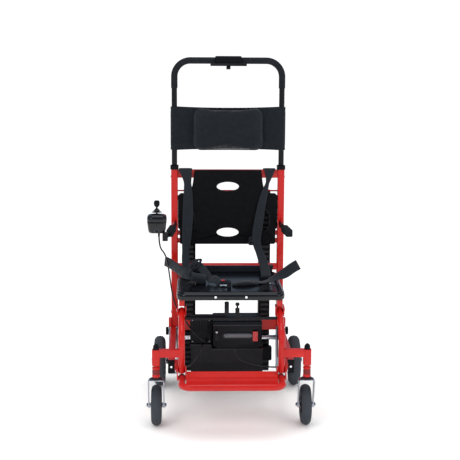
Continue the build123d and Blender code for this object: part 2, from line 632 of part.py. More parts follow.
# Joystick: a link from the left arm, a hollow box, a gimbal ring and the stick.
STICK_TOP = 812.0
with BuildPart() as joystick_link:
    rod((-ARM_TIP_X, ARM_TIP_Y + 4, 666), (-246, -48, 666), 5)
    block((-256, -60, 658), (-236, -38, JOYSTICK_LOW[2]))
write_group("arm_plate_left", left_plate, joystick_link.part - left_plate)
left_pad = arm_pad.part.mirror(Plane.YZ) - joystick_link.part
left_pad.label = "arm_pad_left"
export_step(left_pad, "parts/arm_pad_left.step")

with BuildPart() as joystick_box:
    block(JOYSTICK_LOW, JOYSTICK_HIGH)
    fillet(joystick_box.edges().filter_by(Axis.Z), 16)
    fillet(joystick_box.faces().sort_by(Axis.Z)[-1].edges(), 10)
    rod((STICK_X, STICK_Y, 718), (STICK_X, STICK_Y, 760), 22, mode=Mode.SUBTRACT)
    for pin_x in (STICK_X - 23, STICK_X + 17):
        rod((pin_x, STICK_Y, STICK_PIVOT_Z), (pin_x + 6, STICK_Y, STICK_PIVOT_Z), 2)
joystick_box.part.label = "joystick_box"
export_step(joystick_box.part, "parts/joystick_box.step")

with BuildPart() as joystick_gimbal:
    with BuildSketch(Plane.XY.offset(STICK_PIVOT_Z - 4)):
        with Locations((STICK_X, STICK_Y)):
            Circle(16)
            Circle(10, mode=Mode.SUBTRACT)
    extrude(amount=8)
    rod(
        (STICK_X - 30, STICK_Y, STICK_PIVOT_Z), (STICK_X + 30, STICK_Y, STICK_PIVOT_Z), 2 + RUNNING_GAP,
        mode=Mode.SUBTRACT,
    )
    rod(
        (STICK_X, STICK_Y - 30, STICK_PIVOT_Z), (STICK_X, STICK_Y + 30, STICK_PIVOT_Z), 2 + RUNNING_GAP,
        mode=Mode.SUBTRACT,
    )
joystick_gimbal.part.label = "joystick_gimbal"
export_step(joystick_gimbal.part, "parts/joystick_gimbal.step")

with BuildPart() as joystick_stick:
    turned_z(
        (STICK_X, STICK_Y, 0),
        (
            (0, 728), (4, 728), (7, 734), (7, 742), (3.5, 748), (3.5, 786), (9, 790), (11, 797),
            (11, 805), (8.5, 810.5), (0, STICK_TOP),
        ),
    )
    rod((STICK_X, STICK_Y - 14, STICK_PIVOT_Z), (STICK_X, STICK_Y + 14, STICK_PIVOT_Z), 2)
joystick_stick.part.label = "joystick_stick"
export_step(joystick_stick.part, "parts/joystick_stick.step")

with BuildPart() as joystick_gaiter:
    turned_z(
        (STICK_X, STICK_Y, 0),
        ((21, 757.3), (27, 757.3), (22, 763), (14, 769), (7, 781), (4, 781), (4, 776), (12, 764)),
    )
joystick_gaiter.part.label = "joystick_gaiter"
export_step(joystick_gaiter.part, "parts/joystick_gaiter.step")

# ---------------------------------------------------------------- seat
with BuildPart() as seat_pan:
    with BuildSketch(Plane.XY.offset(SEAT_BOTTOM)):
        with Locations((0, (SEAT_FRONT + SEAT_REAR) / 2)):
            RectangleRounded(2 * SEAT_HALF, SEAT_REAR - SEAT_FRONT, 34)
    extrude(amount=SEAT_TOP - SEAT_BOTTOM)
    with BuildSketch(Plane.XY.offset(SEAT_BOTTOM)):
        with Locations((0, (SEAT_FRONT + SEAT_REAR) / 2)):
            RectangleRounded(2 * SEAT_HALF - 8, SEAT_REAR - SEAT_FRONT - 8, 30)
    extrude(amount=SEAT_TOP - SEAT_BOTTOM - 5, mode=Mode.SUBTRACT)
    block((-SEAT_HALF + 30, SEAT_FRONT, SEAT_TOP - 5), (SEAT_HALF - 30, SEAT_FRONT + 8, SEAT_TOP + 3))
    block((-SEAT_HALF + 20, SEAT_REAR - 8, SEAT_TOP - 5), (SEAT_HALF - 20, SEAT_REAR, 506))
    for sign in (-1, 1):
        with Locations((sign * SEAT_SLOT_X, SEAT_SLOT_Y, SEAT_TOP)):
            Box(38, 54, 20, mode=Mode.SUBTRACT)
        lug_x = sign * 171 - 8
        block((lug_x, SEAT_REAR - 4, 489), (lug_x + 16, SEAT_HINGE[0], 505))
        rod((lug_x, *SEAT_HINGE), (lug_x + 16, *SEAT_HINGE), 8)
        rod((lug_x - 1, *SEAT_HINGE), (lug_x + 17, *SEAT_HINGE), 4 + RUNNING_GAP, mode=Mode.SUBTRACT)
seat_pan.part.label = "seat_pan"
export_step(seat_pan.part, "parts/seat_pan.step")

# Hinge ears on the seat's cross tube, each pair with its pin.
EAR_SIDE = (
    (SEAT_TUBE[0] - 4, 480), (SEAT_TUBE[0] - 4, 504), (SEAT_HINGE[0] - 4, 505),
    (SEAT_HINGE[0] - 9, 497), (SEAT_HINGE[0] - 4, 488),
)
with BuildPart() as seat_hinges:
    for ear_x in (158.7, 179.3):
        side_plate(EAR_SIDE, ear_x, ear_x + 4)
    rod((SEAT_HALF - 60, *SEAT_TUBE), (SEAT_HALF, *SEAT_TUBE), SEAT_TUBE_R, mode=Mode.SUBTRACT)
    rod((156, *SEAT_HINGE), (186, *SEAT_HINGE), 4)
    mirror(about=Plane.YZ)
seat_hinges.part.label = "seat_hinges"
export_step(seat_hinges.part, "parts/seat_hinges.step")

# Bright fasteners: rivets on the seat lip, kept with the seat.
with BuildPart() as seat_rivets:
    for sign in (-1, 1):
        rod((sign * 57, SEAT_FRONT - 2.5, 466), (sign * 57, SEAT_FRONT, 466), 4.5)
seat_rivets.part.label = "seat_rivets"
export_step(seat_rivets.part, "parts/seat_rivets.step")

# ---------------------------------------------------------------- footrest
with BuildPart() as foot_frame:
    foot_route = (
        (FOOT_TUBE_X, STEM_Y + 14, 189), (FOOT_TUBE_X, FOOT_FRONT, 186),
        (-FOOT_TUBE_X, FOOT_FRONT, 186), (-FOOT_TUBE_X, STEM_Y + 14, 189),
    )
    bent_tube(foot_route, (36, 36), FOOT_TUBE_R)
    for ear_x in (LEG_X - 17.3, LEG_X + 13.3):
        for sign in (-1, 1):
            low_x = sign * (ear_x + 2) - 2
            side_plate(
                ((-290, 184), (-259, 184), (-260, 222), (-268, 232), (-281, 232), (-289, 222)),
                low_x, low_x + 4,
            )
    for sign in (-1, 1):
        with Locations((sign * LEG_X, STEM_Y, 188)):
            Box(34, 26, 10)
        rod(
            (sign * LEG_X - 19.5, *FOOT_HINGE), (sign * LEG_X + 19.5, *FOOT_HINGE), 4
        )
foot_frame.part.label = "foot_frame"
export_step(foot_frame.part, "parts/foot_frame.step")

FOOT_PLATE_TOP = (
    (-262, 209), (-318, 201), (-324, 206), (-336, 204.5), (-342, 198), (-374, 193.5),
)
with BuildPart() as foot_plate:
    underside = [(y, z - 4) for y, z in reversed(FOOT_PLATE_TOP)]
    side_plate((*FOOT_PLATE_TOP, *underside), -(LEG_X - 17.6), LEG_X - 17.6)
    add(foot_frame.part, mode=Mode.SUBTRACT)
foot_plate.part.label = "foot_plate"
export_step(foot_plate.part, "parts/foot_plate.step")

# ---------------------------------------------------------------- battery and controls
# The rack is a tray on the lower crossmember, and a bar with a seat stay between
# the legs.
TRAY_TOP = BATTERY_LOW[2] - 0.5
BAR_Y, BAR_Z = -184.5, 390.0
with BuildPart() as battery_rack:
    block((-66, 112, TRAY_TOP - 3), (138, 258, TRAY_TOP))
    block((-152, 176, TRAY_TOP - 3), (-66, 258, TRAY_TOP))
    block((-152, 255, TRAY_TOP - 3), (138, 258, 298))
    block((-100, 258, 236), (100, REAR_AXLE_Y + 8, 264))
    rod((LEG_R - LEG_X, BAR_Y, BAR_Z), (LEG_X - LEG_R, BAR_Y, BAR_Z), 6)
    stay_route = ((-150, BAR_Y, BAR_Z + 10.5), (-16, BAR_Y, BAR_Z + 10.5), (-16, BAR_Y, SEAT_BOTTOM - 1))
    bent_tube(stay_route, (10,), 4.5)
    block((15, BAR_Y - 9, BAR_Z + 3), (31, BAR_Y - 3, BAR_Z + 40))
battery_rack.part.label = "battery_rack"
export_step(battery_rack.part, "parts/battery_rack.step")

with BuildPart() as battery_pack:
    block(BATTERY_LOW, BATTERY_HIGH)
    fillet(battery_pack.edges().filter_by(Axis.Y).group_by(Axis.Z)[0], 24)
    fillet(battery_pack.edges().filter_by(Axis.Y).group_by(Axis.Z)[-1], 6)
    fillet(battery_pack.faces().sort_by(Axis.Y)[0].edges(), 4)
    block((96, BATTERY_LOW[1] - 1, 221), (118, BATTERY_LOW[1] + 10, 270), mode=Mode.SUBTRACT)
    rod((94, BATTERY_LOW[1] + 4, 260), (120, BATTERY_LOW[1] + 4, 260), 1.5, mode=Mode.SUBTRACT)
battery_pack.part.label = "battery_pack"
export_step(battery_pack.part, "parts/battery_pack.step")

with BuildPart() as battery_latch:
    block((97, BATTERY_LOW[1] - 2, 222.5), (117, BATTERY_LOW[1] + 6, 262))
    fillet(battery_latch.edges().filter_by(Axis.Y), 3)
    rod((94.5, BATTERY_LOW[1] + 4, 260), (119.5, BATTERY_LOW[1] + 4, 260), 1.5 - RUNNING_GAP)
battery_latch.part.label = "battery_latch"
export_step(battery_latch.part, "parts/battery_latch.step")

with BuildPart() as controller_box:
    block(CONTROLLER_LOW, CONTROLLER_HIGH)
    fillet(controller_box.edges().filter_by(Axis.Y), 6)
    for fin in range(6):
        fin_x = CONTROLLER_LOW[0] + 12 + 11 * fin
        block((fin_x, CONTROLLER_LOW[1] - 1, 240), (fin_x + 4, CONTROLLER_LOW[1] + 3, 290), mode=Mode.SUBTRACT)
controller_box.part.label = "controller_box"
export_step(controller_box.part, "parts/controller_box.step")

# Spring plungers that lock the uprights, one outside each rear bracket.
for side, sign in SIDES:
    with BuildPart() as lock_knob:
        rod((sign * (RAIL_X + 4), *LOCK_AT), (sign * 242, *LOCK_AT), 4)
        rod((sign * 240.3, *LOCK_AT), (sign * 252, *LOCK_AT), 16.5)
        fillet(lock_knob.edges().filter_by(GeomType.CIRCLE).group_by(SortBy.RADIUS)[-1], 3)
    lock_knob.part.label = f"lock_knob_{side}"
    export_step(lock_knob.part, f"parts/lock_knob_{side}.step")

# ---------------------------------------------------------------- belts
STRAP_REAR = PANEL_FRONT - 1.0
SHOULDER_CENTRES = {
    "left": ((-171, 888), (-165, 850), (-161, 770), (-161, 680), (-170, 560)),
    "right": ((167, 888), (163, 848), (140, 775), (126, 700), (116, 612)),
}
SHOULDER_WIDTHS = (38, 24, 34, 38, 38)
for side, centres in SHOULDER_CENTRES.items():
    with BuildPart() as shoulder_strap:
        with BuildSketch(Plane.XZ.offset(-STRAP_REAR)):
            with BuildLine():
                near_edge = [(x - w / 2, z) for (x, z), w in zip(centres, SHOULDER_WIDTHS)]
                far_edge = [(x + w / 2, z) for (x, z), w in zip(centres, SHOULDER_WIDTHS)]
                Polyline(*near_edge, *reversed(far_edge), close=True)
            make_face()
        extrude(amount=STRAP_THICK)
    shoulder_strap.part.label = f"shoulder_strap_{side}"
    export_step(shoulder_strap.part, f"parts/shoulder_strap_{side}.step")

BELT_BOTTOM = SEAT_TOP + 0.5
with BuildPart() as lap_belt:
    block((-196, -30, BELT_BOTTOM), (-40, 8, BELT_BOTTOM + STRAP_THICK))
    block((6, -40, BELT_BOTTOM), (180, -2, BELT_BOTTOM + STRAP_THICK))
    block((18, -62, BELT_BOTTOM + STRAP_THICK), (118, -20, BELT_BOTTOM + 22))
lap_belt.part.label = "lap_belt"
export_step(lap_belt.part, "parts/lap_belt.step")

with BuildPart() as belt_buckle:
    block((-38, -62, BELT_BOTTOM), (4, -14, BELT_BOTTOM + 20))
    fillet(belt_buckle.edges().filter_by(Axis.X).group_by(Axis.Z)[-1], 6)
    block((-34, -28, BELT_BOTTOM + 13), (-18, -10, BELT_BOTTOM + 24), mode=Mode.SUBTRACT)
belt_buckle.part.label = "belt_buckle"
export_step(belt_buckle.part, "parts/belt_buckle.step")

with BuildPart() as buckle_button:
    block((-33.5, -27.5, BELT_BOTTOM + 16.5), (-18.5, -14.5, BELT_BOTTOM + 21.5))
buckle_button.part.label = "buckle_button"
export_step(buckle_button.part, "parts/buckle_button.step")

# ---------------------------------------------------------------- cables
JOYSTICK_CABLE = (
    (-270, -28, 690), (-270, -28, 652), (-265, 30, 612), (-256, 95, 588), (-247, 155, 556),
    (-240, 205, 508), (-233, 238, 448), (-226, 256, 388), (-212, 250, 336), (-190, 212, 310),
    (-168, 164, 288), (-142, 124, 260), (-113, 102, 236), (-91, 116, 219), (-86, 148, 214), (-86, 180, 214),
)
DRIVE_CABLE_LEFT = (
    (-100, 180, 206), (-100, 156, 206), (-108, 136, 178), (-130, 142, 140), (-154, 164, 106),
    (-172, 205, 88), (-202.5, 205, 88),
)
DRIVE_CABLE_RIGHT = (
    (27, 131, TRAY_TOP - 3), (27, 131, 162), (52, 140, 136), (94, 154, 118), (138, 172, 102),
    (172, 205, 88), (202.5, 205, 88),
)
CABLES = {
    "joystick_cable": JOYSTICK_CABLE,
    "drive_cable_left": DRIVE_CABLE_LEFT,
    "drive_cable_right": DRIVE_CABLE_RIGHT,
}
for name, route_points in CABLES.items():
    radii = bend_radii(route_points)
    print(name, "bend radii", [round(radius) for radius in radii])
    with BuildPart() as cable:
        bent_tube(route_points, radii, CABLE_R)
    cable.part.label = name
    export_step(cable.part, f"parts/{name}.step")
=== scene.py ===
import json
import math

import bmesh
import bpy
from mathutils import Matrix, Vector, noise


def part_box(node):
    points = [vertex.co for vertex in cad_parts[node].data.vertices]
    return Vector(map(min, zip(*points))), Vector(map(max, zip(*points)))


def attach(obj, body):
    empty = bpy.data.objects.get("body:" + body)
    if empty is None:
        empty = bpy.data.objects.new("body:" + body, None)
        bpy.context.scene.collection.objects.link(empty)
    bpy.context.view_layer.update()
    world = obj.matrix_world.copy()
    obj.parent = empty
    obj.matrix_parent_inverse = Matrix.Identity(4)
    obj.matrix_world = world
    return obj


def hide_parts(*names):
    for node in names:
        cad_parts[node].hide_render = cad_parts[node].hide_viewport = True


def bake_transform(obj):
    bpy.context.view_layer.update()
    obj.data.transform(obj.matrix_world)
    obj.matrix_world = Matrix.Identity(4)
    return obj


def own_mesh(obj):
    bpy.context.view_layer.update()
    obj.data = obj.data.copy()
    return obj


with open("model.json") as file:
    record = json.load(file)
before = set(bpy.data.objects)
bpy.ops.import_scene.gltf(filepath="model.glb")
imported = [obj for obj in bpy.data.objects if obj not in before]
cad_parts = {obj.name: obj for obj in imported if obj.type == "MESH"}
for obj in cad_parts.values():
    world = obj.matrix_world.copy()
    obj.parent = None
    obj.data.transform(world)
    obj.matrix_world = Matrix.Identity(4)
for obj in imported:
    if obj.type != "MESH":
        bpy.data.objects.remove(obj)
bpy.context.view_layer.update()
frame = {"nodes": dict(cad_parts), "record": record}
NODES = frame["nodes"]
MM = 0.001


# ---------------------------------------------------------------- materials
def new_material(name):
    """An empty node material and its shader, with a texture coordinate node in object space."""
    material = bpy.data.materials.new(name)
    material.use_nodes = True
    tree = material.node_tree
    shader = tree.nodes["Principled BSDF"]
    place = tree.nodes.new("ShaderNodeTexCoord").outputs["Object"]
    return material, tree, shader, place


def noise_node(tree, place, scale, detail=3.0, rough=0.55):
    """Noise of that many features per metre."""
    node = tree.nodes.new("ShaderNodeTexNoise")
    node.inputs["Scale"].default_value = scale
    node.inputs["Detail"].default_value = detail
    node.inputs["Roughness"].default_value = rough
    tree.links.new(place, node.inputs["Vector"])
    return node.outputs["Fac"]


def spread(tree, value, low, high, start=0.3, end=0.7):
    """Maps a 0 to 1 pattern to the range low to high."""
    node = tree.nodes.new("ShaderNodeMapRange")
    node.inputs["From Min"].default_value = start
    node.inputs["From Max"].default_value = end
    node.inputs["To Min"].default_value = low
    node.inputs["To Max"].default_value = high
    tree.links.new(value, node.inputs["Value"])
    return node.outputs["Result"]


def mix_colour(tree, factor, first, second):
    """Mixes two colours, each a tuple or a socket."""
    node = tree.nodes.new("ShaderNodeMix")
    node.data_type = "RGBA"
    tree.links.new(factor, node.inputs["Factor"])
    for socket, colour in ((node.inputs[6], first), (node.inputs[7], second)):
        if isinstance(colour, tuple):
            socket.default_value = (*colour, 1.0)
        else:
            tree.links.new(colour, socket)
    return node.outputs[2]


def bump(tree, shader, heights, distance):
    """Chains bumps, one for each (height socket, strength)."""
    normal = None
    for height, strength in heights:
        node = tree.nodes.new("ShaderNodeBump")
        node.inputs["Strength"].default_value = strength
        node.inputs["Distance"].default_value = distance
        tree.links.new(height, node.inputs["Height"])
        if normal is not None:
            tree.links.new(normal, node.inputs["Normal"])
        normal = node.outputs["Normal"]
    tree.links.new(normal, shader.inputs["Normal"])


def edge_mask(tree, low=0.53, high=0.60):
    """1 on convex edges and 0 elsewhere: where paint and plastic wear, and where a painted highlight lightens
    them.
    """
    geometry = tree.nodes.new("ShaderNodeNewGeometry")
    return spread(tree, geometry.outputs["Pointiness"], 0.0, 1.0, low, high)


def shade(tone, share):
    """A colour made lighter or darker."""
    return tuple(channel * share for channel in tone)


def hard_material(
    name, tone, rough, metal=0.0, coat=0.0, grain=900.0, depth=0.15, vary=0.12, edge_wear_and_highlight=None, gloss=0.5
):
    """Paint, plastic, rubber or metal: blotched colour, uneven gloss, fine grain, and edges lightened both for
    wear and as a painted highlight.
    """
    material, tree, shader, place = new_material(name)
    blotch = noise_node(tree, place, 14.0)
    fine = noise_node(tree, place, grain, 2.0)
    smears = noise_node(tree, place, 55.0, 5.0, 0.65)
    colour = mix_colour(tree, blotch, shade(tone, 1 - vary), shade(tone, 1 + vary))
    # Convex edges take a lighter colour: partly wear, partly a painted highlight along the edges.
    if edge_wear_and_highlight is not None:
        colour = mix_colour(tree, edge_mask(tree), colour, edge_wear_and_highlight)
    tree.links.new(colour, shader.inputs["Base Color"])
    tree.links.new(spread(tree, smears, rough * 0.8, rough * 1.25), shader.inputs["Roughness"])
    shader.inputs["Metallic"].default_value = metal
    shader.inputs["Specular IOR Level"].default_value = gloss
    shader.inputs["Coat Weight"].default_value = coat
    shader.inputs["Coat Roughness"].default_value = 0.12
    bump(tree, shader, ((fine, depth), (smears, depth * 0.4)), 0.0006)
    return material


def stripes(tree, place, direction, pitch):
    """A wave along one axis, one crest for each pitch in metres."""
    node = tree.nodes.new("ShaderNodeTexWave")
    node.bands_direction = direction
    node.inputs["Scale"].default_value = math.pi / (10 * pitch)
    node.inputs["Distortion"].default_value = 0.15
    node.inputs["Detail"].default_value = 1.0
    tree.links.new(place, node.inputs["Vector"])
    return node.outputs["Fac"]


def woven_material(name, tone, pitch, axes, sheen=0.25, rough=0.85, depth=0.5):
    """Cloth of crossed threads, with its pattern along two axes."""
    material, tree, shader, place = new_material(name)
    warp = stripes(tree, place, axes[0], pitch)
    weft = stripes(tree, place, axes[1], pitch * 1.3)
    cross = tree.nodes.new("ShaderNodeMath")
    cross.operation = "MULTIPLY"
    tree.links.new(warp, cross.inputs[0])
    tree.links.new(weft, cross.inputs[1])
    threads = cross.outputs["Value"]
    faded = mix_colour(tree, noise_node(tree, place, 9.0), shade(tone, 0.8), shade(tone, 1.25))
    tree.links.new(mix_colour(tree, threads, faded, shade(tone, 1.5)), shader.inputs["Base Color"])
    uneven = spread(tree, noise_node(tree, place, 60.0), rough - 0.1, rough + 0.1)
    tree.links.new(uneven, shader.inputs["Roughness"])
    shader.inputs["Specular IOR Level"].default_value = 0.2
    shader.inputs["Sheen Weight"].default_value = sheen
    shader.inputs["Sheen Roughness"].default_value = 0.45
    bump(tree, shader, ((threads, depth), (noise_node(tree, place, 300.0), 0.2)), 0.0006)
    return material


RED = hard_material(
    "frame_red", (0.46, 0.006, 0.004), 0.34, coat=0.22, grain=1400, depth=0.08,
    edge_wear_and_highlight=(0.56, 0.02, 0.015), gloss=0.26,
)
DARK_RED = hard_material("bush_red", (0.16, 0.006, 0.006), 0.50, grain=1200, edge_wear_and_highlight=(0.30, 0.02, 0.02))
BLACK_STEEL = hard_material(
    "dark_steel", (0.0030, 0.0035, 0.0055), 0.32, coat=0.06, edge_wear_and_highlight=(0.03, 0.03, 0.036), gloss=0.16
)
CHROME = hard_material(
    "bright_steel", (0.80, 0.82, 0.86), 0.18, metal=1.0, grain=2200, depth=0.05, vary=0.05
)
FORK_STEEL = hard_material(
    "fork_steel", (0.42, 0.44, 0.50), 0.22, metal=1.0, grain=1800, depth=0.06, vary=0.12
)
ZINC = hard_material("zinc_plate", (0.42, 0.47, 0.54), 0.32, metal=1.0, grain=260, depth=0.12, vary=0.14)
ALUMINIUM = hard_material("aluminium_part", (0.45, 0.46, 0.48), 0.38, metal=1.0, grain=1800, depth=0.12)
PLASTIC = hard_material(
    "black_plastic", (0.0035, 0.0040, 0.0060), 0.40, grain=1600, depth=0.25,
    edge_wear_and_highlight=(0.016, 0.017, 0.022), gloss=0.11,
)
# The panel's lighter edge colour is a painted highlight along its rims and slot edges.
PANEL = hard_material(
    "panel_plastic", (0.0018, 0.0019, 0.003), 0.60, grain=1100, depth=0.35,
    edge_wear_and_highlight=(0.025, 0.028, 0.036), gloss=0.12,
)
GLOSS = hard_material(
    "gloss_black", (0.0022, 0.0026, 0.0045), 0.20, coat=0.15, grain=700, depth=0.05,
    edge_wear_and_highlight=(0.012, 0.014, 0.018), gloss=0.34,
)
RED_PLASTIC = hard_material("red_plastic", (0.52, 0.010, 0.012), 0.28, coat=0.3, grain=1500, depth=0.08)
TYRE = hard_material(
    "tyre_rubber", (0.036, 0.043, 0.053), 0.75, grain=800, depth=0.40, vary=0.22,
    edge_wear_and_highlight=(0.09, 0.095, 0.10), gloss=0.25,
)
# The track's lighter edge colour is a painted highlight that brings out its lugs.
TRACK = hard_material(
    "track_rubber", (0.004, 0.0045, 0.006), 0.62, grain=900, depth=0.40, vary=0.2,
    edge_wear_and_highlight=(0.10, 0.11, 0.13), gloss=0.25,
)
FOAM = hard_material(
    "foam_black", (0.008, 0.010, 0.014), 0.85, grain=2600, depth=0.60, vary=0.15, gloss=0.25
)
CLOTH = woven_material("fabric_black", (0.0062, 0.0092, 0.0132), 0.0011, ("X", "Z"), sheen=0.10)
WEBBING = woven_material(
    "webbing", (0.0090, 0.0125, 0.0180), 0.0016, ("X", "Z"), sheen=0.14, rough=0.62, depth=0.8
)
THREAD = hard_material("thread", (0.018, 0.022, 0.032), 0.8, grain=3000, depth=0.5, gloss=0.2)
SHEATH = hard_material("cable_sheath", (0.004, 0.004, 0.006), 0.40, grain=1500, depth=0.12, gloss=0.4)
LIGHT_BAR = hard_material("light_bar", (0.10, 0.10, 0.12), 0.30, coat=0.3, grain=900, depth=0.05)

SLOT_MATERIALS = {
    "frame_red": RED, "dark_steel": BLACK_STEEL, "bright_steel": CHROME, "zinc_plate": ZINC,
    "aluminium_part": ALUMINIUM, "black_plastic": PLASTIC, "gloss_black": GLOSS, "red_plastic": RED_PLASTIC,
    "tyre_rubber": TYRE, "track_rubber": TRACK, "foam_black": FOAM, "fabric_black": CLOTH,
    "webbing": WEBBING, "cable_sheath": SHEATH,
}


# ---------------------------------------------------------------- carried-over CAD nodes
EDGE_WIDTHS = {"back_panel": 3.0, "seat_pan": 3.5, "arm_plate_left": 0.6, "arm_plate_right": 0.6}


def dress_node(node, material):
    """Gives a CAD node its material and small rounded edges."""
    node.data.materials.clear()
    node.data.materials.append(material)
    weld = node.modifiers.new("weld", "WELD")
    weld.merge_threshold = 0.00002
    edges = node.modifiers.new("edges", "BEVEL")
    edges.width = EDGE_WIDTHS.get(node.name, 1.0) * MM
    edges.segments = 3
    edges.limit_method = "ANGLE"
    edges.angle_limit = math.radians(32)
    edges.harden_normals = True


OWN_MATERIALS = {"back_panel": PANEL, "caster_fork_left": FORK_STEEL, "caster_fork_right": FORK_STEEL}
SLOT_OF = {row["node"]: row["material_slot"] for row in frame["record"]["subparts"]}
for node_name, node in NODES.items():
    dress_node(node, OWN_MATERIALS.get(node_name, SLOT_MATERIALS[SLOT_OF[node_name]]))


# ---------------------------------------------------------------- mesh helpers
def finish_piece(obj, material, body):
    """Paints a new object, shades it and hangs it on its body."""
    obj.data.materials.append(material)
    obj.data.shade_smooth()
    if body:
        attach(obj, body)
    return obj


def mesh_object(name, vertices, faces):
    """A mesh object from points and faces, with its faces turned outwards."""
    mesh = bpy.data.meshes.new(name)
    mesh.from_pydata([tuple(v) for v in vertices], [], faces)
    obj = bpy.data.objects.new(name, mesh)
    bpy.context.scene.collection.objects.link(obj)
    work = bmesh.new()
    work.from_mesh(mesh)
    bmesh.ops.recalc_face_normals(work, faces=work.faces)
    work.to_mesh(mesh)
    work.free()
    return obj


def smooth_path(points):
    """Points along a NURBS line through a route's control points."""
    curve = bpy.data.curves.new("route", "CURVE")
    curve.dimensions = "3D"
    spline = curve.splines.new("NURBS")
    spline.points.add(len(points) - 1)
    for control, point in zip(spline.points, points):
        control.co = (*point, 1.0)
    spline.order_u = 3
    spline.use_endpoint_u = True
    spline.resolution_u = 8
    carrier = bpy.data.objects.new("route", curve)
    bpy.context.scene.collection.objects.link(carrier)
    line = bpy.data.meshes.new_from_object(carrier)
    path = [v.co.copy() for v in line.vertices]
    bpy.data.objects.remove(carrier)
    return path


def ring_faces(rings, sides):
    """The faces between rings of points, each ring joined to the next."""
    faces = []
    for row in range(rings - 1):
        here, there = row * sides, (row + 1) * sides
        for step in range(sides):
            after = (step + 1) % sides
            faces.append((here + step, here + after, there + after, there + step))
    return faces


def end_face(rings, sides):
    """The face that closes the last of the rings."""
    return tuple((rings - 1) * sides + step for step in range(sides))


def grid_rim(columns, rows):
    """Numbers of a grid's outer points, in order round it."""
    wide = columns + 1
    rim = list(range(columns))
    rim += [columns + wide * row for row in range(rows)]
    rim += [rows * wide + columns - column for column in range(columns)]
    return rim + [wide * (rows - row) for row in range(rows)]


def lathe(name, centre, axis, outline, steps=48):
    """Turns an outline of (radius, distance along the axis), in mm, about an axis through centre."""
    turn = Vector((0, 0, 1)).rotation_difference(Vector(axis)).to_matrix()
    rings = []
    for radius, along in outline:
        for step in range(steps):
            angle = 2 * math.pi * step / steps
            local = Vector((radius * math.cos(angle), radius * math.sin(angle), along)) * MM
            rings.append(Vector(centre) + turn @ local)
    faces = ring_faces(len(outline), steps)
    faces.append(tuple(range(steps)))
    faces.append(tuple(reversed(end_face(len(outline), steps))))
    return mesh_object(name, rings, faces)


def bolt_head(name, centre, axis, radius=5.5, height=3.2, sides=6):
    """A domed socket head with its recess: the base is at centre, and it stands out along the axis."""
    outline = (
        (radius, 0), (radius, height * 0.55), (radius * 0.86, height * 0.9), (radius * 0.62, height),
        (radius * 0.5, height), (radius * 0.46, height * 0.45), (0.01, height * 0.4),
    )
    return lathe(name, centre, axis, outline, 6 * sides)


def soft_edges(obj, width, segments=3):
    """Rounds the edges of a piece."""
    edges = obj.modifiers.new("edges", "BEVEL")
    edges.width = width
    edges.segments = segments
    edges.limit_method = "ANGLE"
    edges.angle_limit = math.radians(32)
    return obj


def joined(objects, name):
    """Joins pieces that share a material into one object."""
    base = objects[0]
    with bpy.context.temp_override(active_object=base, selected_editable_objects=objects):
        bpy.ops.object.join()
    base.name = name
    base.data.name = name
    return base


def rounded(x, y, half_x, half_y, radius):
    """Moves a point of a rectangle's grid so that the rectangle's corners become round."""
    over_x, over_y = abs(x) - (half_x - radius), abs(y) - (half_y - radius)
    if over_x <= 0 or over_y <= 0:
        return x, y
    share = max(over_x, over_y) / math.hypot(over_x, over_y)
    return (
        math.copysign(half_x - radius + over_x * share, x),
        math.copysign(half_y - radius + over_y * share, y),
    )


def stacked(name, centre, levels, sides=64):
    """An open shell through levels of (z, half x, half y, squareness), in metres from centre."""
    vertices = []
    for z, half_x, half_y, squareness in levels:
        for step in range(sides):
            angle = 2 * math.pi * (step + 0.5) / sides
            c, t = math.cos(angle), math.sin(angle)
            x = math.copysign(abs(c) ** (2 / squareness), c) * half_x
            y = math.copysign(abs(t) ** (2 / squareness), t) * half_y
            vertices.append(Vector(centre) + Vector((x, y, z)))
    return mesh_object(name, vertices, ring_faces(len(levels), sides))


def slab(name, low, high, radius, steps=6):
    """A plate with rounded corners, its flat faces looking along y."""
    low, high = Vector(low), Vector(high)
    middle, half = (low + high) / 2, (high - low) / 2
    outline = []
    for corner, (sx, sz) in enumerate(((1, 1), (-1, 1), (-1, -1), (1, -1))):
        for step in range(steps + 1):
            angle = math.pi / 2 * (corner + step / steps)
            x = sx * (half.x - radius) + radius * math.cos(angle)
            z = sz * (half.z - radius) + radius * math.sin(angle)
            outline.append((x, z))
    vertices = [middle + Vector((x, side * half.y, z)) for side in (-1, 1) for x, z in outline]
    count = len(outline)
    faces = [tuple(range(count)), tuple(range(count, 2 * count))] + ring_faces(2, count)
    return soft_edges(mesh_object(name, vertices, faces), 0.0008, 2)


# ---------------------------------------------------------------- camera, light and floor
def place_camera():
    """A long lens in front of the chair, a little to its right-hand side and looking slightly down."""
    pitch, yaw, roll = math.radians(9.624), math.radians(1.931), math.radians(0.321)
    forward = Vector((math.sin(yaw) * math.cos(pitch), math.cos(yaw) * math.cos(pitch), -math.sin(pitch)))
    level = Vector((math.cos(yaw), -math.sin(yaw), 0))
    upright = level.cross(forward)
    right = level * math.cos(roll) + upright * math.sin(roll)
    up = upright * math.cos(roll) - level * math.sin(roll)
    data = bpy.data.cameras.new("camera")
    data.lens = 91.53
    data.sensor_width = 36.0
    data.clip_end = 200.0
    camera = bpy.data.objects.new("camera", data)
    turn = Matrix((right, up, -forward)).transposed().to_4x4()
    camera.matrix_world = Matrix.Translation((-0.1480, -4.4022, 1.4374)) @ turn
    bpy.context.scene.collection.objects.link(camera)
    bpy.context.scene.camera = camera


def area_light(name, place, aim, size, power):
    """A soft square light at place, aimed at a point."""
    data = bpy.data.lights.new(name, "AREA")
    data.shape = "SQUARE"
    data.size = size
    data.energy = power
    light = bpy.data.objects.new(name, data)
    light.location = place
    light.rotation_euler = (Vector(aim) - Vector(place)).to_track_quat("-Z", "Y").to_euler()
    bpy.context.scene.collection.objects.link(light)


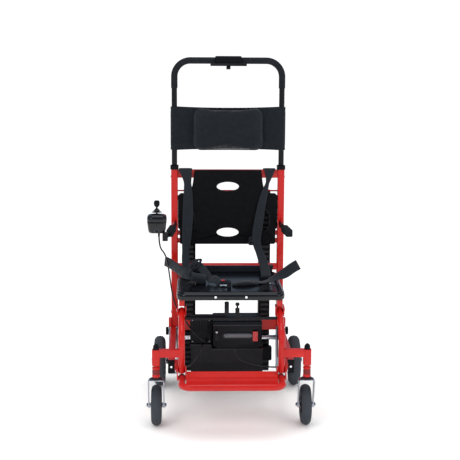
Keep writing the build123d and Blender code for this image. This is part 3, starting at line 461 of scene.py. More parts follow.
def light_studio():
    """A bright pale room that reflects darker than it lights, a key, a fill and a top light."""
    world = bpy.data.worlds.new("studio")
    world.use_nodes = True
    sky = world.node_tree.nodes["Background"]
    sky.inputs["Color"].default_value = (1.0, 1.0, 1.0, 1.0)
    sky.inputs["Strength"].default_value = 1.08
    tree = world.node_tree
    ray = tree.nodes.new("ShaderNodeLightPath")
    dim = tree.nodes.new("ShaderNodeBackground")
    dim.inputs["Color"].default_value = (0.62, 0.78, 1.0, 1.0)
    dim.inputs["Strength"].default_value = 0.30
    choose = tree.nodes.new("ShaderNodeMixShader")
    tree.links.new(ray.outputs["Is Glossy Ray"], choose.inputs[0])
    tree.links.new(sky.outputs[0], choose.inputs[1])
    tree.links.new(dim.outputs[0], choose.inputs[2])
    tree.links.new(choose.outputs[0], tree.nodes["World Output"].inputs["Surface"])
    bpy.context.scene.world = world
    area_light("key", (-2.2, -3.2, 3.0), (0, 0, 0.7), 1.6, 34)
    area_light("fill", (2.6, -2.6, 1.8), (0, 0, 0.6), 1.8, 16)
    area_light("top", (0.0, 0.3, 3.4), (0, 0, 0.5), 1.6, 22)
    bpy.context.scene.view_settings.view_transform = "Standard"


def lay_floor():
    """A large pale floor under the wheels."""
    half = 90.0
    corners = [(-half, -half, 0), (half, -half, 0), (half, half, 0), (-half, half, 0)]
    floor = mesh_object("floor", corners, [(0, 1, 2, 3)])
    material, tree, shader, place = new_material("floor")
    tone = mix_colour(tree, noise_node(tree, place, 3.0), (0.978, 0.978, 0.978), (0.990, 0.990, 0.990))
    tree.links.new(tone, shader.inputs["Base Color"])
    shader.inputs["Roughness"].default_value = 1.0
    shader.inputs["Specular IOR Level"].default_value = 0.0
    floor.data.materials.append(material)


place_camera()
light_studio()
lay_floor()


# ---------------------------------------------------------------- cables
CABLE_DIAMETER = 0.006
JOYSTICK_CABLE = (
    (-0.270, -0.028, 0.690), (-0.270, -0.028, 0.652), (-0.265, 0.030, 0.612), (-0.256, 0.095, 0.588),
    (-0.247, 0.155, 0.556), (-0.240, 0.205, 0.508), (-0.233, 0.238, 0.448), (-0.226, 0.256, 0.388),
    (-0.212, 0.250, 0.336), (-0.190, 0.212, 0.310), (-0.168, 0.164, 0.288), (-0.142, 0.124, 0.260),
    (-0.113, 0.102, 0.236), (-0.091, 0.116, 0.219), (-0.086, 0.148, 0.214), (-0.086, 0.180, 0.214),
)
DRIVE_CABLE_LEFT = (
    (-0.100, 0.180, 0.206), (-0.100, 0.156, 0.206), (-0.108, 0.136, 0.178), (-0.130, 0.142, 0.140),
    (-0.154, 0.164, 0.106), (-0.172, 0.205, 0.088), (-0.2025, 0.205, 0.088),
)
DRIVE_CABLE_RIGHT = (
    (0.027, 0.131, 0.1885), (0.027, 0.131, 0.162), (0.052, 0.140, 0.136), (0.094, 0.154, 0.118),
    (0.138, 0.172, 0.102), (0.172, 0.205, 0.088), (0.2025, 0.205, 0.088),
)
# each: name, control points, real length in metres
CABLES = (
    ("joystick_cable", JOYSTICK_CABLE, 0.793),
    ("drive_cable_left", DRIVE_CABLE_LEFT, 0.221),
    ("drive_cable_right", DRIVE_CABLE_RIGHT, 0.238),
)


def tube_along(name, path, radius, sides=14):
    """A round tube that follows points, with closed ends."""
    vertices = []
    side = Vector((0, 0, 1)).cross(path[1] - path[0])
    if side.length < 1e-6:
        side = Vector((1, 0, 0))
    for number, point in enumerate(path):
        before = path[max(0, number - 1)]
        after = path[min(len(path) - 1, number + 1)]
        along = (after - before).normalized()
        side = (side - along * side.dot(along)).normalized()
        other = along.cross(side)
        for step in range(sides):
            angle = 2 * math.pi * step / sides
            vertices.append(point + (side * math.cos(angle) + other * math.sin(angle)) * radius)
    faces = [tuple(range(sides)), end_face(len(path), sides)] + ring_faces(len(path), sides)
    return mesh_object(name, vertices, faces)


def make_cables():
    """The three cables. The joystick's hangs on no body, and the other two hang on the frame."""
    for name, points, length in CABLES:
        path = smooth_path(points)
        cable = tube_along(f"{name}_skin", path, CABLE_DIAMETER / 2)
        finish_piece(cable, SHEATH, None)
        if name == "joystick_cable":
            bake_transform(cable)
        else:
            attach(cable, "frame")
        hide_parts(name)


make_cables()


# ---------------------------------------------------------------- straps and belts
def ribbon(name, points, widths, across, thick=0.0022, edge=0.0006, columns=8):
    """Webbing along a route. across gives the direction of its width at each control point."""
    path = smooth_path(points)
    last = len(path) - 1
    spans = len(points) - 1
    vertices = []
    for number, point in enumerate(path):
        along = (path[min(last, number + 1)] - path[max(0, number - 1)]).normalized()
        place = number / last * spans
        cell = min(int(place), spans - 1)
        part = place - cell
        width = widths[cell] * (1 - part) + widths[cell + 1] * part
        side = Vector(across[cell]) * (1 - part) + Vector(across[cell + 1]) * part
        side = (side - along * side.dot(along)).normalized()
        normal = along.cross(side).normalized()
        ring = []
        for column in range(columns + 1):
            share = 2 * column / columns - 1
            ripple = 0.0006 * noise.noise(Vector((number * 0.13, share * 1.3, len(name))))
            height = thick / 2 * (1 - abs(share) ** 8) + ripple + edge
            ring.append((share, height, ripple - edge - thick / 2 * (1 - abs(share) ** 8)))
        for share, top, _ in ring:
            vertices.append(point + side * share * width / 2 + normal * top)
        for share, _, low in reversed(ring):
            vertices.append(point + side * share * width / 2 + normal * low)
    count = 2 * (columns + 1)
    faces = ring_faces(last + 1, count) + [tuple(range(count)), end_face(last + 1, count)]
    return mesh_object(name, vertices, faces)


X_ACROSS = (1.0, 0.0, 0.0)


# each: control points, widths in mm, the points where the frame's part ends and the seat's part
# starts, and the flat size in metres
SHOULDER_STRAPS = {
    "left": (
        (
            (-0.171, 0.2985, 0.887), (-0.171, 0.290, 0.8945), (-0.171, 0.2745, 0.8935),
            (-0.168, 0.2685, 0.880), (-0.162, 0.2675, 0.845), (-0.160, 0.267, 0.780),
            (-0.161, 0.262, 0.690), (-0.167, 0.240, 0.610), (-0.172, 0.205, 0.545),
            (-0.166, 0.150, 0.506), (-0.150, 0.090, 0.490),
        ),
        (50, 52, 54, 44, 29, 38, 44, 38, 28, 32, 36), (6, 9), (0.038, 0.52),
    ),
    "right": (
        (
            (0.167, 0.2985, 0.887), (0.167, 0.290, 0.8945), (0.167, 0.2745, 0.8935),
            (0.166, 0.2685, 0.880), (0.163, 0.2660, 0.848), (0.144, 0.267, 0.785),
            (0.128, 0.262, 0.700), (0.118, 0.252, 0.640), (0.113, 0.230, 0.600),
            (0.130, 0.196, 0.556), (0.147, 0.150, 0.512), (0.146, 0.090, 0.488),
        ),
        (50, 50, 46, 34, 14, 30, 36, 38, 34, 30, 36, 40), (7, 10), (0.036, 0.50),
    ),
}


def shoulder_straps():
    """Webbing from over the upper crossbar, down the panel and forward on to the seat."""
    for side, (route, widths, (leaves, lands), flat) in SHOULDER_STRAPS.items():
        widths = [width * MM for width in widths]
        strap = ribbon(f"shoulder_strap_{side}_webbing", route, widths, [X_ACROSS] * len(route))
        finish_piece(strap, WEBBING, None)
        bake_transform(strap)
        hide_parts(f"shoulder_strap_{side}")


def slider(name, centre, along, across, length, width):
    """A three-bar webbing adjuster, lying along the strap."""
    along, across = Vector(along).normalized(), Vector(across).normalized()
    normal = along.cross(across).normalized()
    bars = []
    for number, share in enumerate((-0.5, 0.0, 0.5)):
        middle = Vector(centre) + along * share * length
        ends = (middle - across * width / 2, middle, middle + across * width / 2)
        bars.append(tube_along(f"{name}_bar{number}", ends, 0.0045, 10))
    for number, share in enumerate((-0.5, 0.5)):
        middle = Vector(centre) + across * share * width
        ends = (middle - along * length / 2, middle + normal * 0.001, middle + along * length / 2)
        bars.append(tube_along(f"{name}_side{number}", ends, 0.0040, 10))
    return joined(bars, name)


def belt_tail(side, route, widths, across):
    """A loose end of the lap belt, hung on the seat."""
    tail = ribbon(f"lap_belt_tail_{side}", route, widths, across)
    finish_piece(tail, WEBBING, None)
    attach(tail, "seat")
    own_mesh(tail)


def belt_tails(bottom):
    """The two loose ends, which stand off the seat and out past its sides."""
    left = (
        (-0.253, 0.212, 0.528), (-0.232, 0.190, 0.524), (-0.200, 0.140, 0.510), (-0.166, 0.085, 0.500),
        (-0.135, 0.045, 0.492), (-0.112, 0.022, bottom + 0.004),
    )
    slant, flatter = (0.35, -0.35, 0.87), (0.45, 0.75, 0.35)
    across = [slant, slant, slant, (0.40, 0.10, 0.75), flatter, flatter]
    belt_tail("left", left, [0.040] * 6, across)
    right = (
        (0.100, -0.006, bottom + 0.010), (0.122, 0.008, bottom + 0.003), (0.150, 0.022, bottom + 0.006),
        (0.186, 0.038, 0.499), (0.218, 0.046, 0.512), (0.246, 0.048, 0.534), (0.269, 0.050, 0.546),
    )
    lean, upward = (-0.20, 0.55, 0.80), (-0.35, 0.2, 0.9)
    across = [(0, 1, 0), (0, 1, 0), (0, 0.98, 0.15), (-0.1, 0.85, 0.4), lean, upward, upward]
    widths = [0.036, 0.036, 0.038, 0.040, 0.040, 0.040, 0.040]
    belt_tail("right", right, widths, across)


def belt_middle(bottom):
    """The doubled part left of the buckle: a band, a rolled loop and a folded corner."""
    upper = (
        (-0.158, 0.060, 0.512), (-0.142, 0.056, 0.540), (-0.120, 0.050, 0.545), (-0.104, 0.042, 0.530),
        (-0.088, 0.034, 0.510), (-0.072, 0.022, 0.492),
    )
    widths = [0.034, 0.036, 0.036, 0.036, 0.036, 0.030]
    band = ribbon("lap_belt_loop_top", upper, widths, [(0.35, 0.6, 0.5)] * 6)
    loop = []
    for step in range(16):
        turn = 2 * math.pi * step / 14
        loop.append((-0.118, 0.014 + 0.017 * math.cos(turn), bottom + 0.0195 + 0.0175 * math.sin(turn)))
    roll = ribbon("lap_belt_loop_wide", loop, [0.054] * 16, [(0.97, 0.05, -0.22)] * 16)
    corner = (
        (-0.082, 0.010, bottom + 0.006), (-0.068, 0.008, bottom + 0.020), (-0.054, -0.002, bottom + 0.016),
        (-0.046, -0.012, bottom + 0.008), (-0.039, -0.024, bottom + 0.004),
    )
    fold = ribbon("lap_belt_fold", corner, [0.030, 0.046, 0.040, 0.024, 0.020], [(0.35, 0.75, 0.45)] * 5)
    middle = joined([band, roll, fold], "lap_belt_middle")
    finish_piece(middle, WEBBING, "seat")
    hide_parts("lap_belt")


def belt_adjusters():
    """The webbing wrapped through the lap belt's adjuster, and both adjusters."""
    centre, along = Vector((-0.133, 0.048, 0.544)), Vector((0.55, -0.15, -0.75))
    route = [tuple(centre + along * reach) for reach in (-0.016, -0.008, 0.0, 0.008, 0.016)]
    widths = [0.030, 0.037, 0.038, 0.037, 0.032]
    wrap = ribbon("lap_belt_wrap", route, widths, [(0.75, 0.1, 0.5)] * 5, 0.0075)
    finish_piece(wrap, WEBBING, "seat")
    lap = slider(
        "belt_adjuster_left", (-0.131, 0.046, 0.549), (0.75, -0.15, 0.1), (0.35, 0.5, 0.6), 0.030, 0.040
    )
    finish_piece(lap, PLASTIC, "seat")
    shoulder = slider(
        "strap_adjuster_right", (0.108, 0.238, 0.606), (0.15, 0.45, 1.0), X_ACROSS, 0.028, 0.042
    )
    finish_piece(shoulder, PLASTIC, "frame")


def lap_belt():
    """The loose lap belt, lying across the seat."""
    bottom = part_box("lap_belt")[0].z + 0.001
    belt_tails(bottom)
    belt_middle(bottom)
    belt_adjusters()


def belt_pad():
    """The padded sleeve on the right of the buckle, crowned and pinched at its ends."""
    low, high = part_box("lap_belt")
    start, end, base = 0.008, 0.108, low.z + 0.001
    rows, columns = 36, 20
    vertices = []
    for row in range(rows + 1):
        share = row / rows
        x = start + (end - start) * share
        pinch = (math.sin(math.pi * min(max(share, 0.03), 0.97))) ** 0.35
        half_width = 0.019 * (0.75 + 0.25 * pinch)
        height = 0.0165 * pinch
        centre_y = -0.030 + 0.022 * share
        for column in range(columns):
            angle = 2 * math.pi * column / columns
            wide = math.copysign(abs(math.cos(angle)) ** 0.6, math.cos(angle))
            tall = 0.5 + 0.5 * math.copysign(abs(math.sin(angle)) ** 0.8, math.sin(angle))
            wrinkle = 0.0012 * noise.noise(Vector((x * 90, angle * 1.5, 3.0)))
            vertices.append((x, centre_y + half_width * wide, base + height * tall + wrinkle * tall))
    faces = ring_faces(rows + 1, columns) + [tuple(range(columns)), end_face(rows + 1, columns)]
    pad = mesh_object("lap_belt_pad", vertices, faces)
    finish_piece(pad, WEBBING, "seat")


shoulder_straps()
lap_belt()
belt_pad()


# ---------------------------------------------------------------- headrest
def headrest_cushion():
    """The padded block on the front of the band: crowned, pulled in at its corners, with a piped edge."""
    low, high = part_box("headrest_cushion")
    middle = (low + high) / 2
    half = (high - low) / 2
    columns, rows = 64, 32
    vertices, faces = [], []

    def outline_point(u, v, share):
        """A point on the cushion's rounded outline, u and v from -1 to 1, drawn in towards the rear."""
        narrow = 1 - 0.035 * (v + 1) / 2
        x, z = rounded(half.x * u, half.z * v, half.x, half.z, 0.032)
        waist = 1 - 0.014 * (1 - u * u) * abs(v) ** 8
        return middle.x + x * narrow * share, middle.z + z * waist * share

    for row in range(rows + 1):
        for column in range(columns + 1):
            u, v = 2 * column / columns - 1, 2 * row / rows - 1
            x, z = outline_point(u, v, 1.0)
            fall = (1 - abs(u) ** 5) * (1 - abs(v) ** 4)
            crown = fall ** 0.45
            dimple = 0.0022 * noise.noise(Vector((u * 2.2, v * 1.6, 7.0)))
            y = high.y - (high.y - low.y) * (0.22 + 0.74 * crown) + dimple
            vertices.append((x, y, z))
    front = len(vertices)
    for row in range(rows + 1):
        for column in range(columns + 1):
            u, v = 2 * column / columns - 1, 2 * row / rows - 1
            x, z = outline_point(u, v, 0.985)
            vertices.append((x, high.y, z))
    wide = columns + 1
    for row in range(rows):
        for column in range(columns):
            a = row * wide + column
            faces.append((a, a + 1, a + wide + 1, a + wide))
            faces.append((front + a, front + a + wide, front + a + wide + 1, front + a + 1))
    rim = grid_rim(columns, rows)
    for a, b in zip(rim, rim[1:] + rim[:1]):
        faces.append((a, b, front + b, front + a))
    cushion = mesh_object("headrest_cushion_cover", vertices, faces)
    piping_path = [Vector(vertices[number]) + Vector((0, 0.0015, 0)) for number in rim]
    piping = tube_along("headrest_piping", piping_path + piping_path[:1], 0.0022, 10)
    return cushion, piping


def simulate_pad(pad, low, high, cap=0.007):
    """Blows a pad up as cloth, keeps each point near its start and inside its CAD box."""
    remesh = pad.modifiers.new("voxels", "REMESH")
    remesh.mode = "VOXEL"
    remesh.voxel_size = 0.005
    bpy.context.view_layer.objects.active = pad
    with bpy.context.temp_override(object=pad, active_object=pad):
        bpy.ops.object.modifier_apply(modifier=remesh.name)
    start = [vertex.co.copy() for vertex in pad.data.vertices]
    cloth = pad.modifiers.new("cloth", "CLOTH")
    cloth.settings.quality = 5
    cloth.settings.use_pressure = True
    cloth.settings.uniform_pressure_force = 4.0
    cloth.settings.effector_weights.gravity = 0.0
    cloth.settings.tension_stiffness = 12
    cloth.settings.shrink_min = -0.03
    for number in range(1, 21):
        bpy.context.scene.frame_set(number)
    with bpy.context.temp_override(object=pad, active_object=pad):
        bpy.ops.object.modifier_apply(modifier=cloth.name)
    bpy.context.scene.frame_set(1)
    for vertex, was in zip(pad.data.vertices, start):
        move = vertex.co - was
        if move.length > cap:
            vertex.co = was + move.normalized() * cap
        vertex.co.y = min(vertex.co.y, high.y)
        vertex.co.y = max(vertex.co.y, low.y - 0.004)
    smooth = pad.modifiers.new("smooth", "SUBSURF")
    smooth.levels = 1
    smooth.render_levels = 1


def make_headrest():
    """Cushion, piping and the sleeve that spans the two handle tubes."""
    low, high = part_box("headrest_cushion")
    cushion, piping = headrest_cushion()
    simulate_pad(cushion, low, high)
    finish_piece(cushion, CLOTH, "headrest")
    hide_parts("headrest_cushion")
    finish_piece(piping, THREAD, "headrest")
    make_band()


def band_point(share, half_x, half_y):
    """A point and its outward direction round the sleeve's section, share going from 0 to 1."""
    straight = 2 * (half_x - half_y)
    bend = math.pi * half_y
    travel = share * 2 * (straight + bend)
    if travel < straight:
        return Vector((-straight / 2 + travel, -half_y)), Vector((0, -1))
    travel -= straight
    if travel < bend:
        angle = -math.pi / 2 + travel / half_y
        out = Vector((math.cos(angle), math.sin(angle)))
        return Vector((straight / 2, 0)) + out * half_y, out
    travel -= bend
    if travel < straight:
        return Vector((straight / 2 - travel, half_y)), Vector((0, 1))
    angle = math.pi / 2 + (travel - straight) / half_y
    out = Vector((math.cos(angle), math.sin(angle)))
    return Vector((-straight / 2, 0)) + out * half_y, out


def make_band():
    """The headrest's sleeve: taut cloth with drag lines, hems, and a sewn line beside each tube."""
    low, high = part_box("headrest_band")
    middle = (low + high) / 2
    half = (high - low) / 2
    across, up = 260, 44
    vertices, faces = [], []
    for layer, inset in ((0, 0.0004), (1, 0.0024)):
        for row in range(up + 1):
            level = row / up
            for column in range(across):
                spot, out = band_point(column / across, half.x - inset, half.y - inset)
                between = max(0.0, 1 - (spot.x / (half.x - 0.03)) ** 2)
                dip = 0.0050 * between * (2 * level - 1) ** 3
                sag = 0.0045 * between * math.sin(math.pi * level)
                drag = 0.0016 * noise.noise(Vector((spot.x * 9, level * 2.2 + spot.x * 6, 1.7 + out.y)))
                hem = 0.0007 if 0.05 < level < 0.11 or 0.89 < level < 0.95 else 0.0
                seam = -0.0014 if abs(abs(spot.x) - (half.x - 0.040)) < 0.0016 else 0.0
                push = -sag + (drag * between) + seam - hem
                place = spot + out * push
                z = low.z + (high.z - low.z) * level - dip
                vertices.append((middle.x + place.x, middle.y + place.y, z))
    layer_size = (up + 1) * across
    for row in range(up):
        for column in range(across):
            after = (column + 1) % across
            a, b = row * across + column, row * across + after
            faces.append((a, b, b + across, a + across))
            faces.append((layer_size + a, layer_size + a + across, layer_size + b + across, layer_size + b))
    for column in range(across):
        after = (column + 1) % across
        faces.append((column, layer_size + column, layer_size + after, after))
        top = up * across
        faces.append((top + column, top + after, layer_size + top + after, layer_size + top + column))
    band = mesh_object("headrest_band_sleeve", vertices, faces)
    finish_piece(band, CLOTH, "headrest")
    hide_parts("headrest_band")


make_headrest()


# ---------------------------------------------------------------- joystick gaiter
# each: (radius in mm, share of the height)
CUFF = ((25.5, 0.00), (25.5, 0.04), (17, 0.06), (15, 0.08))
BELLOWS = (
    (7, 0.35), (17, 0.38), (20, 0.41), (19, 0.45), (12, 0.51), (9.5, 0.57), (10, 0.63), (13.5, 0.68),
    (13.5, 0.72), (8.5, 0.79), (7, 0.85), (8.5, 0.90), (7.5, 0.94), (4.2, 0.98), (3.7, 1.0),
)


def joystick_gaiter():
    """The rubber boot round the foot of the stick: a cuff on the housing and bellows on the stick."""
    low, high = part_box("joystick_gaiter")
    centre = ((low.x + high.x) / 2, (low.y + high.y) / 2, low.z)
    height = (high.z - low.z) / MM
    cuff_outline = [(radius, share * height) for radius, share in CUFF]
    cuff = lathe("joystick_cuff", centre, (0, 0, 1), cuff_outline, 40)
    finish_piece(cuff, TRACK, "armrest_left")
    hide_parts("joystick_gaiter")
    bellows_outline = [(radius, share * height) for radius, share in BELLOWS]
    bellows = lathe("joystick_bellows", centre, (0, 0, 1), bellows_outline, 40)
    finish_piece(bellows, TRACK, "joystick_stick")


joystick_gaiter()


# ---------------------------------------------------------------- seat cover
SEAT_HALF_DEPTH = 0.2000
SEAT_CORNER = 0.034
SEAT_EDGE_DROP = 0.0275
SKIN = 0.0006
SLOT_X, SLOT_Y = 0.142, 0.0265
SLOT_HALF_X, SLOT_HALF_Y = 0.019, 0.027
# each: how far the skirt's ring stands out, and how far down it is
SKIRT = ((0.0012, 0.004), (0.0016, 0.009), (0.0010, 0.0165))


def seat_height(u, margin):
    """The skin's height at u across the seat, -1 to 1, and a margin in from the edge."""
    edge = max(0.0, 1 - margin / 0.008)
    rim = math.exp(-((margin - 0.014) / 0.009) ** 2)
    inside = min(1.0, max(0.0, (margin - 0.020) / 0.030))
    bolster = 0.0022 * math.cos(u * math.pi) * inside
    return 0.0008 + 0.0042 * rim - 0.0055 * edge ** 2 + 0.0006 * inside + max(0.0, -bolster)


def seat_cover():
    """The moulded seat's gloss skin, with hand slots in it and a skirt round the edge."""
    low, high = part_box("seat_pan")
    middle = Vector((0, low.y + SEAT_HALF_DEPTH, 0))
    top = high.z - SEAT_EDGE_DROP
    half_x, half_y = (high.x - low.x) / 2 + SKIN, SEAT_HALF_DEPTH + SKIN
    cells = 100
    vertices, faces = [], []
    for row in range(cells + 1):
        for column in range(cells + 1):
            u, v = 2 * column / cells - 1, 2 * row / cells - 1
            x, y = rounded(u * half_x, v * half_y, half_x, half_y, SEAT_CORNER)
            margin = min(half_x - abs(u * half_x), half_y - abs(v * half_y))
            vertices.append((middle.x + x, middle.y + y, top + seat_height(u, margin)))
    wide = cells + 1
    for row in range(cells):
        for column in range(cells):
            a = row * wide + column
            spot = Vector(vertices[a]) + (Vector(vertices[a + wide + 1]) - Vector(vertices[a])) / 2
            in_slot = abs(abs(spot.x) - SLOT_X) < SLOT_HALF_X and abs(spot.y - SLOT_Y) < SLOT_HALF_Y
            if not in_slot:
                faces.append((a, a + 1, a + wide + 1, a + wide))
    rim = grid_rim(cells, cells)
    previous = rim
    for out, drop in SKIRT:
        start = len(vertices)
        for number in rim:
            x, y, _ = vertices[number]
            away = Vector((x - middle.x, y - middle.y, 0)).normalized()
            vertices.append((x + away.x * out, y + away.y * out, top - 0.0045 - drop))
        ring = list(range(start, start + len(rim)))
        for n in range(len(rim)):
            m = (n + 1) % len(rim)
            faces.append((previous[n], previous[m], ring[m], ring[n]))
        previous = ring
    cover = mesh_object("seat_cover", vertices, faces)
    finish_piece(cover, GLOSS, "seat")


seat_cover()


# ---------------------------------------------------------------- joystick, battery and controller details
def joystick_shell():
    """The joystick's housing: full in the middle, drawn in below, with a port and a lens on the front."""
    low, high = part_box("joystick_box")
    centre = ((low.x + high.x) / 2, (low.y + high.y) / 2, low.z)
    half_x, half_y, tall = (high.x - low.x) / 2, (high.y - low.y) / 2, high.z - low.z
    profile = (
        (0.000, 0.66, 3.4), (0.012, 0.76, 3.6), (0.06, 0.84, 3.8), (0.20, 0.90, 4.0), (0.50, 0.965, 4.2),
        (0.665, 0.995, 4.4), (0.680, 0.980, 4.4), (0.695, 1.000, 4.4), (0.86, 0.990, 4.2), (0.93, 0.955, 4.0),
        (0.975, 0.88, 3.8), (0.995, 0.80, 3.6),
    )
    levels = [(tall * share, half_x * wide, half_y * wide, power) for share, wide, power in profile]
    levels += [(tall * 0.997, 0.0245, 0.0245, 2.0), (tall * 0.90, 0.0235, 0.0235, 2.0)]
    shell = stacked("joystick_shell", centre, levels)
    finish_piece(shell, GLOSS, "armrest_left")
    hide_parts("joystick_box")
    front = low.y + half_y * 0.06
    lens = lathe("joystick_lens", (centre[0], front, centre[2] + tall * 0.52), (0, -1, 0),
                 ((3.4, 0), (3.4, 2.0), (2.8, 2.8), (2.4, 2.4), (0.01, 2.4)), 24)
    finish_piece(lens, GLOSS, "armrest_left")
    port = lathe("joystick_port", (centre[0], low.y + half_y * 0.16, centre[2] + tall * 0.17), (0, -1, 0),
                 ((9.0, 0), (9.0, 5.2), (8.0, 6.2), (6.6, 6.0), (6.2, 3.2), (0.01, 3.0)), 32)
    finish_piece(port, TRACK, "armrest_left")


def strain_relief(name, top, body):
    """A short tapered rubber sleeve where a cable leaves its housing, pointing down from top."""
    outline = [(5.6, 0.0), (5.4, 3.0)]
    for rib in range(5):
        outline += [(4.9 - 0.22 * rib, 4.0 + 3.4 * rib), (4.2 - 0.20 * rib, 5.6 + 3.4 * rib)]
    outline += [(3.3, 21.5)]
    finish_piece(lathe(name, top, (0, 0, -1), outline, 24), SHEATH, body)


# each: name, left, bottom, right and top from the pack's lower left corner, how far it stands off
# the face, corner radius, steps round a corner, material
BATTERY_FACE = (
    ("battery_bezel", 0.038, 0.039, 0.162, 0.068, 0.0006, 0.0140, 10, GLOSS),
    ("battery_light_bar", 0.044, 0.0455, 0.156, 0.0615, 0.0016, 0.0079, 10, LIGHT_BAR),
    ("battery_strip", 0.008, 0.033, 0.022, 0.080, 0.0012, 0.0030, 6, BLACK_STEEL),
)
BUTTON = ((4.2, 0), (4.2, 1.2), (3.6, 1.8), (0.01, 1.8))


def battery_details():
    """The battery's light bar in its bezel, a dark strip with a bright button, and a parting band."""
    low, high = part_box("battery_pack")
    face = low.y
    for name, left, bottom, right, top, proud, radius, steps, material in BATTERY_FACE:
        near = (low.x + left, face - proud, low.z + bottom)
        far = (low.x + right, face + 0.002, low.z + top)
        finish_piece(slab(name, near, far, radius, steps), material, "battery")
    button = lathe("battery_button", (low.x + 0.015, face - 0.0010, low.z + 0.068), (0, -1, 0), BUTTON, 24)
    finish_piece(button, CHROME, "battery")
    band_z, thick, proud = low.z + 0.094, 0.0022, 0.0005
    near = (low.x - proud, face - proud, band_z)
    far = (high.x + proud, high.y - 0.02, band_z + thick)
    finish_piece(slab("battery_parting_band", near, far, 0.0009, 3), TRACK, "battery")


def seat_stay():
    """The square post that stands on the rack's bar under the seat, and the toggle beside it."""
    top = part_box("battery_rack")[1].z - 0.001
    post = slab("seat_stay_post", (-0.0245, -0.1915, 0.4035), (-0.0080, -0.1775, top), 0.0030)
    finish_piece(post, BLACK_STEEL, "frame")
    stalk = lathe("rack_toggle", (0.023, -0.1900, 0.4290), (0, 0, 1),
                  ((4.5, 0), (4.5, 2), (3.0, 4), (3.0, 8), (7.5, 12), (8.0, 17), (6.5, 21), (0.01, 22)), 24)
    finish_piece(stalk, PLASTIC, "frame")


def controller_details():
    """Four cover screws on the controller's face."""
    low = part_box("controller_box")[0]
    for number, (x, z) in enumerate(((0.008, 0.008), (0.076, 0.008), (0.008, 0.096), (0.076, 0.096))):
        screw = bolt_head(f"controller_screw_{number}", (low.x + x, low.y, low.z + z), (0, -1, 0), 3.0, 1.8)
        finish_piece(screw, ZINC, "frame")


joystick_shell()
strain_relief("joystick_strain_relief", JOYSTICK_CABLE[0], "armrest_left")
battery_details()
controller_details()
seat_stay()


# ---------------------------------------------------------------- casters and wheels
def turned_ring(name, centre, outline, steps, tread):
    """Turns a closed outline of (radius, distance along X), in metres, about X; tread cuts into it."""
    vertices, faces = [], []
    count = len(outline)
    for step in range(steps):
        angle = 2 * math.pi * step / steps
        for radius, along in outline:
            radius += tread(radius, along, step)
            vertices.append(Vector(centre) + Vector((along, radius * math.cos(angle), radius * math.sin(angle))))
    for step in range(steps):
        after = (step + 1) % steps
        for n in range(count):
            m = (n + 1) % count
            faces.append((step * count + n, step * count + m, after * count + m, after * count + n))
    return mesh_object(name, vertices, faces)


RIM_RADII = {"rear_tyre": 0.0702, "caster_tyre": 0.0482}


def tyre(node, body, groove_count, block_depth):
    """A tyre with ribs round it, cross cuts at its shoulders and a bead line on each side wall."""
    low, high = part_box(node)
    centre = (low + high) / 2
    outer, half = (high.z - low.z) / 2, (high.x - low.x) / 2
    inner = RIM_RADII[node.rsplit("_", 1)[0]]
    outline = [(inner, -half * 0.80), (inner + 0.004, -half * 0.97), (inner + 0.006, -half * 0.94)]
    samples = 26
    for number in range(samples + 1):
        share = 2 * number / samples - 1
        crown = (1 - abs(share) ** 2.6) ** 0.5
        radius = inner + 0.008 + (outer - inner - 0.008) * crown
        ribs = 0.0011 * (0.5 - 0.5 * math.cos(share * math.pi * groove_count)) if abs(share) < 0.8 else 0.0
        outline.append((radius - ribs, half * share))
    outline += [(inner + 0.006, half * 0.94), (inner + 0.004, half * 0.97), (inner, half * 0.80)]
    steps = 192

    def cross_cuts(radius, along, step):
        at_shoulder = half * 0.45 < abs(along) < half * 0.93 and radius > inner + 0.010
        return -block_depth if at_shoulder and step % 4 == 0 else 0.0

    ring = turned_ring(f"{node}_tread", centre, outline, steps, cross_cuts)
    finish_piece(ring, TYRE, body)
    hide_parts(node)


def wheel_hub(side, kind, body, reach):
    """Six ribs on both faces of a wheel's disc."""
    low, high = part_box(f"{kind}_rim_{side}")
    centre = (low + high) / 2
    outer = (high.z - low.z) / 2
    ribs = []
    for face in (-1, 1):
        for number in range(6):
            angle = 2 * math.pi * (number + 0.5) / 6
            out = Vector((0, math.cos(angle), math.sin(angle))) * outer
            side_of_disc = centre + Vector((face * reach, 0, 0))
            rib = [side_of_disc + out * share for share in (0.30, 0.58, 0.86)]
            ribs.append(tube_along(f"{kind}_rib", rib, outer * 0.055, 8))
    finish_piece(joined(ribs, f"{kind}_ribs_{side}"), PLASTIC, body)


CASTER_STEM_Y = -0.2745
CROWN = ((13.5, 183.8), (22.5, 184.2), (23.5, 187.2), (16.5, 190.0), (13.2, 190.4))


def caster_fittings(side):
    """The ribbed bush in the stem housing, and the notched bearing crown over the fork."""
    low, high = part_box(f"caster_fork_{side}")
    x, y = (low.x + high.x) / 2, CASTER_STEM_Y
    bush = [(12.6, 203.4), (13.6, 204.0)]
    for rib in range(5):
        base = 205 + rib * 3.3
        bush += [(13.9, base), (13.9, base + 1.9), (12.9, base + 2.3), (12.9, base + 3.0)]
    bush += [(12.6, 221.8)]
    finish_piece(lathe(f"caster_bush_{side}", (x, y, 0), (0, 0, 1), bush, 40), DARK_RED, "frame")
    crown = lathe(f"caster_crown_{side}", (x, y, 0), (0, 0, 1), CROWN, 36)
    for vertex in crown.data.vertices:
        away = vertex.co - Vector((x, y, vertex.co.z))
        step = round(math.atan2(away.y, away.x) / (2 * math.pi) * 36)
        if away.length > 0.020 and step % 3 == 0:
            vertex.co -= away * 0.16
    finish_piece(crown, BLACK_STEEL, f"caster_fork_{side}")


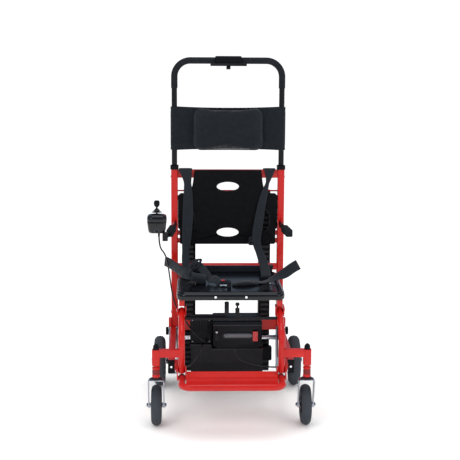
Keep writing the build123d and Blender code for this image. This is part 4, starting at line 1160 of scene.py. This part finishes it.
for wheel_side in ("left", "right"):
    tyre(f"rear_tyre_{wheel_side}", f"rear_wheel_{wheel_side}", 4, 0.0014)
    tyre(f"caster_tyre_{wheel_side}", f"caster_wheel_{wheel_side}", 2, 0.0)
    wheel_hub(wheel_side, "rear", f"rear_wheel_{wheel_side}", 0.0065)
    wheel_hub(wheel_side, "caster", f"caster_wheel_{wheel_side}", 0.0055)
    caster_fittings(wheel_side)


# ---------------------------------------------------------------- bolts, welds and trim
# each: name, x on the right side, y, z, head radius in mm, material, body
BOLTS = (
    ("arm_pivot", 0.2185, 0.258, 0.672, 6.0, ZINC, "frame"),
    ("leg_clevis", 0.200, -0.142, 0.412, 5.5, ZINC, "frame"),
    ("foot_hinge", 0.2025, -0.2745, 0.216, 5.5, CHROME, "footrest"),
    ("upright_low", 0.2285, 0.2935, 0.300, 5.0, ZINC, "frame"),
    ("upright_high", 0.2285, 0.2935, 0.860, 4.0, BLACK_STEEL, "frame"),
    ("track_plate_low", 0.136, 0.345, 0.130, 5.0, ZINC, "track_unit"),
    ("track_plate_high", 0.136, 0.345, 0.690, 5.0, ZINC, "track_unit"),
)


def frame_bolts():
    """Heads at the armrest pivots, leg clevises, footrest hinges, uprights and track plates."""
    for sign, side in ((-1, "left"), (1, "right")):
        for name, x, y, z, radius, material, body in BOLTS:
            head = bolt_head(f"{name}_bolt_{side}", (sign * x, y, z), (sign, 0, 0), radius, radius * 0.6)
            finish_piece(head, material, body)


def weld_bead(name, corners, radius=0.0016):
    """A rippled bead of weld round a joint, through its corners."""
    path = []
    loop = list(corners) + [corners[0]]
    for a, b in zip(loop, loop[1:]):
        a, b = Vector(a), Vector(b)
        steps = max(2, int((b - a).length / 0.0012))
        path += [a + (b - a) * step / steps for step in range(steps)]
    path.append(Vector(loop[0]))
    bead = tube_along(name, path, radius, 8)
    for number, vertex in enumerate(bead.data.vertices):
        ring = number // 8
        vertex.co += (vertex.co - path[min(ring, len(path) - 1)]) * (0.22 * math.sin(ring * 1.6))
    finish_piece(bead, RED, "frame")


def weld_beads():
    """Beads where the outriggers, crossmembers and rails meet."""
    for sign, side in ((-1, "left"), (1, "right")):
        x = sign * 0.1960
        weld_bead(f"outrigger_weld_{side}", (
            (x, -0.2865, 0.2695), (x, -0.2625, 0.2695), (x, -0.2625, 0.2955), (x, -0.2865, 0.2955),
        ))
        x = sign * 0.2012
        weld_bead(f"lower_cross_weld_{side}", (
            (x, 0.2800, 0.2305), (x, 0.3070, 0.2305), (x, 0.3070, 0.2700), (x, 0.2800, 0.2700),
        ))


# each: x, z, half width, half height
HAND_SLOTS = (
    (0, 0.822, 0.0462, 0.0202), (0, 0.635, 0.0462, 0.0202),
    (-0.151, 0.684, 0.0192, 0.0442), (0.151, 0.684, 0.0192, 0.0442),
)


def panel_trim():
    """A raised lip round each of the panel's four hand slots."""
    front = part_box("back_panel")[0].y + 0.0005
    lips = []
    for x, z, half_x, half_z in HAND_SLOTS:
        path = []
        for step in range(65):
            angle = 2 * math.pi * step / 64
            path.append(Vector((x + half_x * math.cos(angle), front, z + half_z * math.sin(angle))))
        lips.append(tube_along("slot_lip", path, 0.0017, 8))
    finish_piece(joined(lips, "panel_slot_lips"), PLASTIC, "frame")


def belt_buckle_details():
    """The buckle's bright tongue and the dark slot across it."""
    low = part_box("belt_buckle")[0]
    near = low + Vector((-0.0006, -0.004, 0.003))
    far = low + Vector((0.0260, 0.004, 0.013))
    tongue = slab("buckle_tongue", near, far, 0.0028)
    finish_piece(tongue, CHROME, "seat")
    near = low + Vector((0.004, -0.0046, 0.0055))
    far = low + Vector((0.021, -0.003, 0.009))
    slot_bar = slab("buckle_slot", near, far, 0.0015)
    finish_piece(slot_bar, BLACK_STEEL, "seat")


frame_bolts()
weld_beads()
panel_trim()
belt_buckle_details()
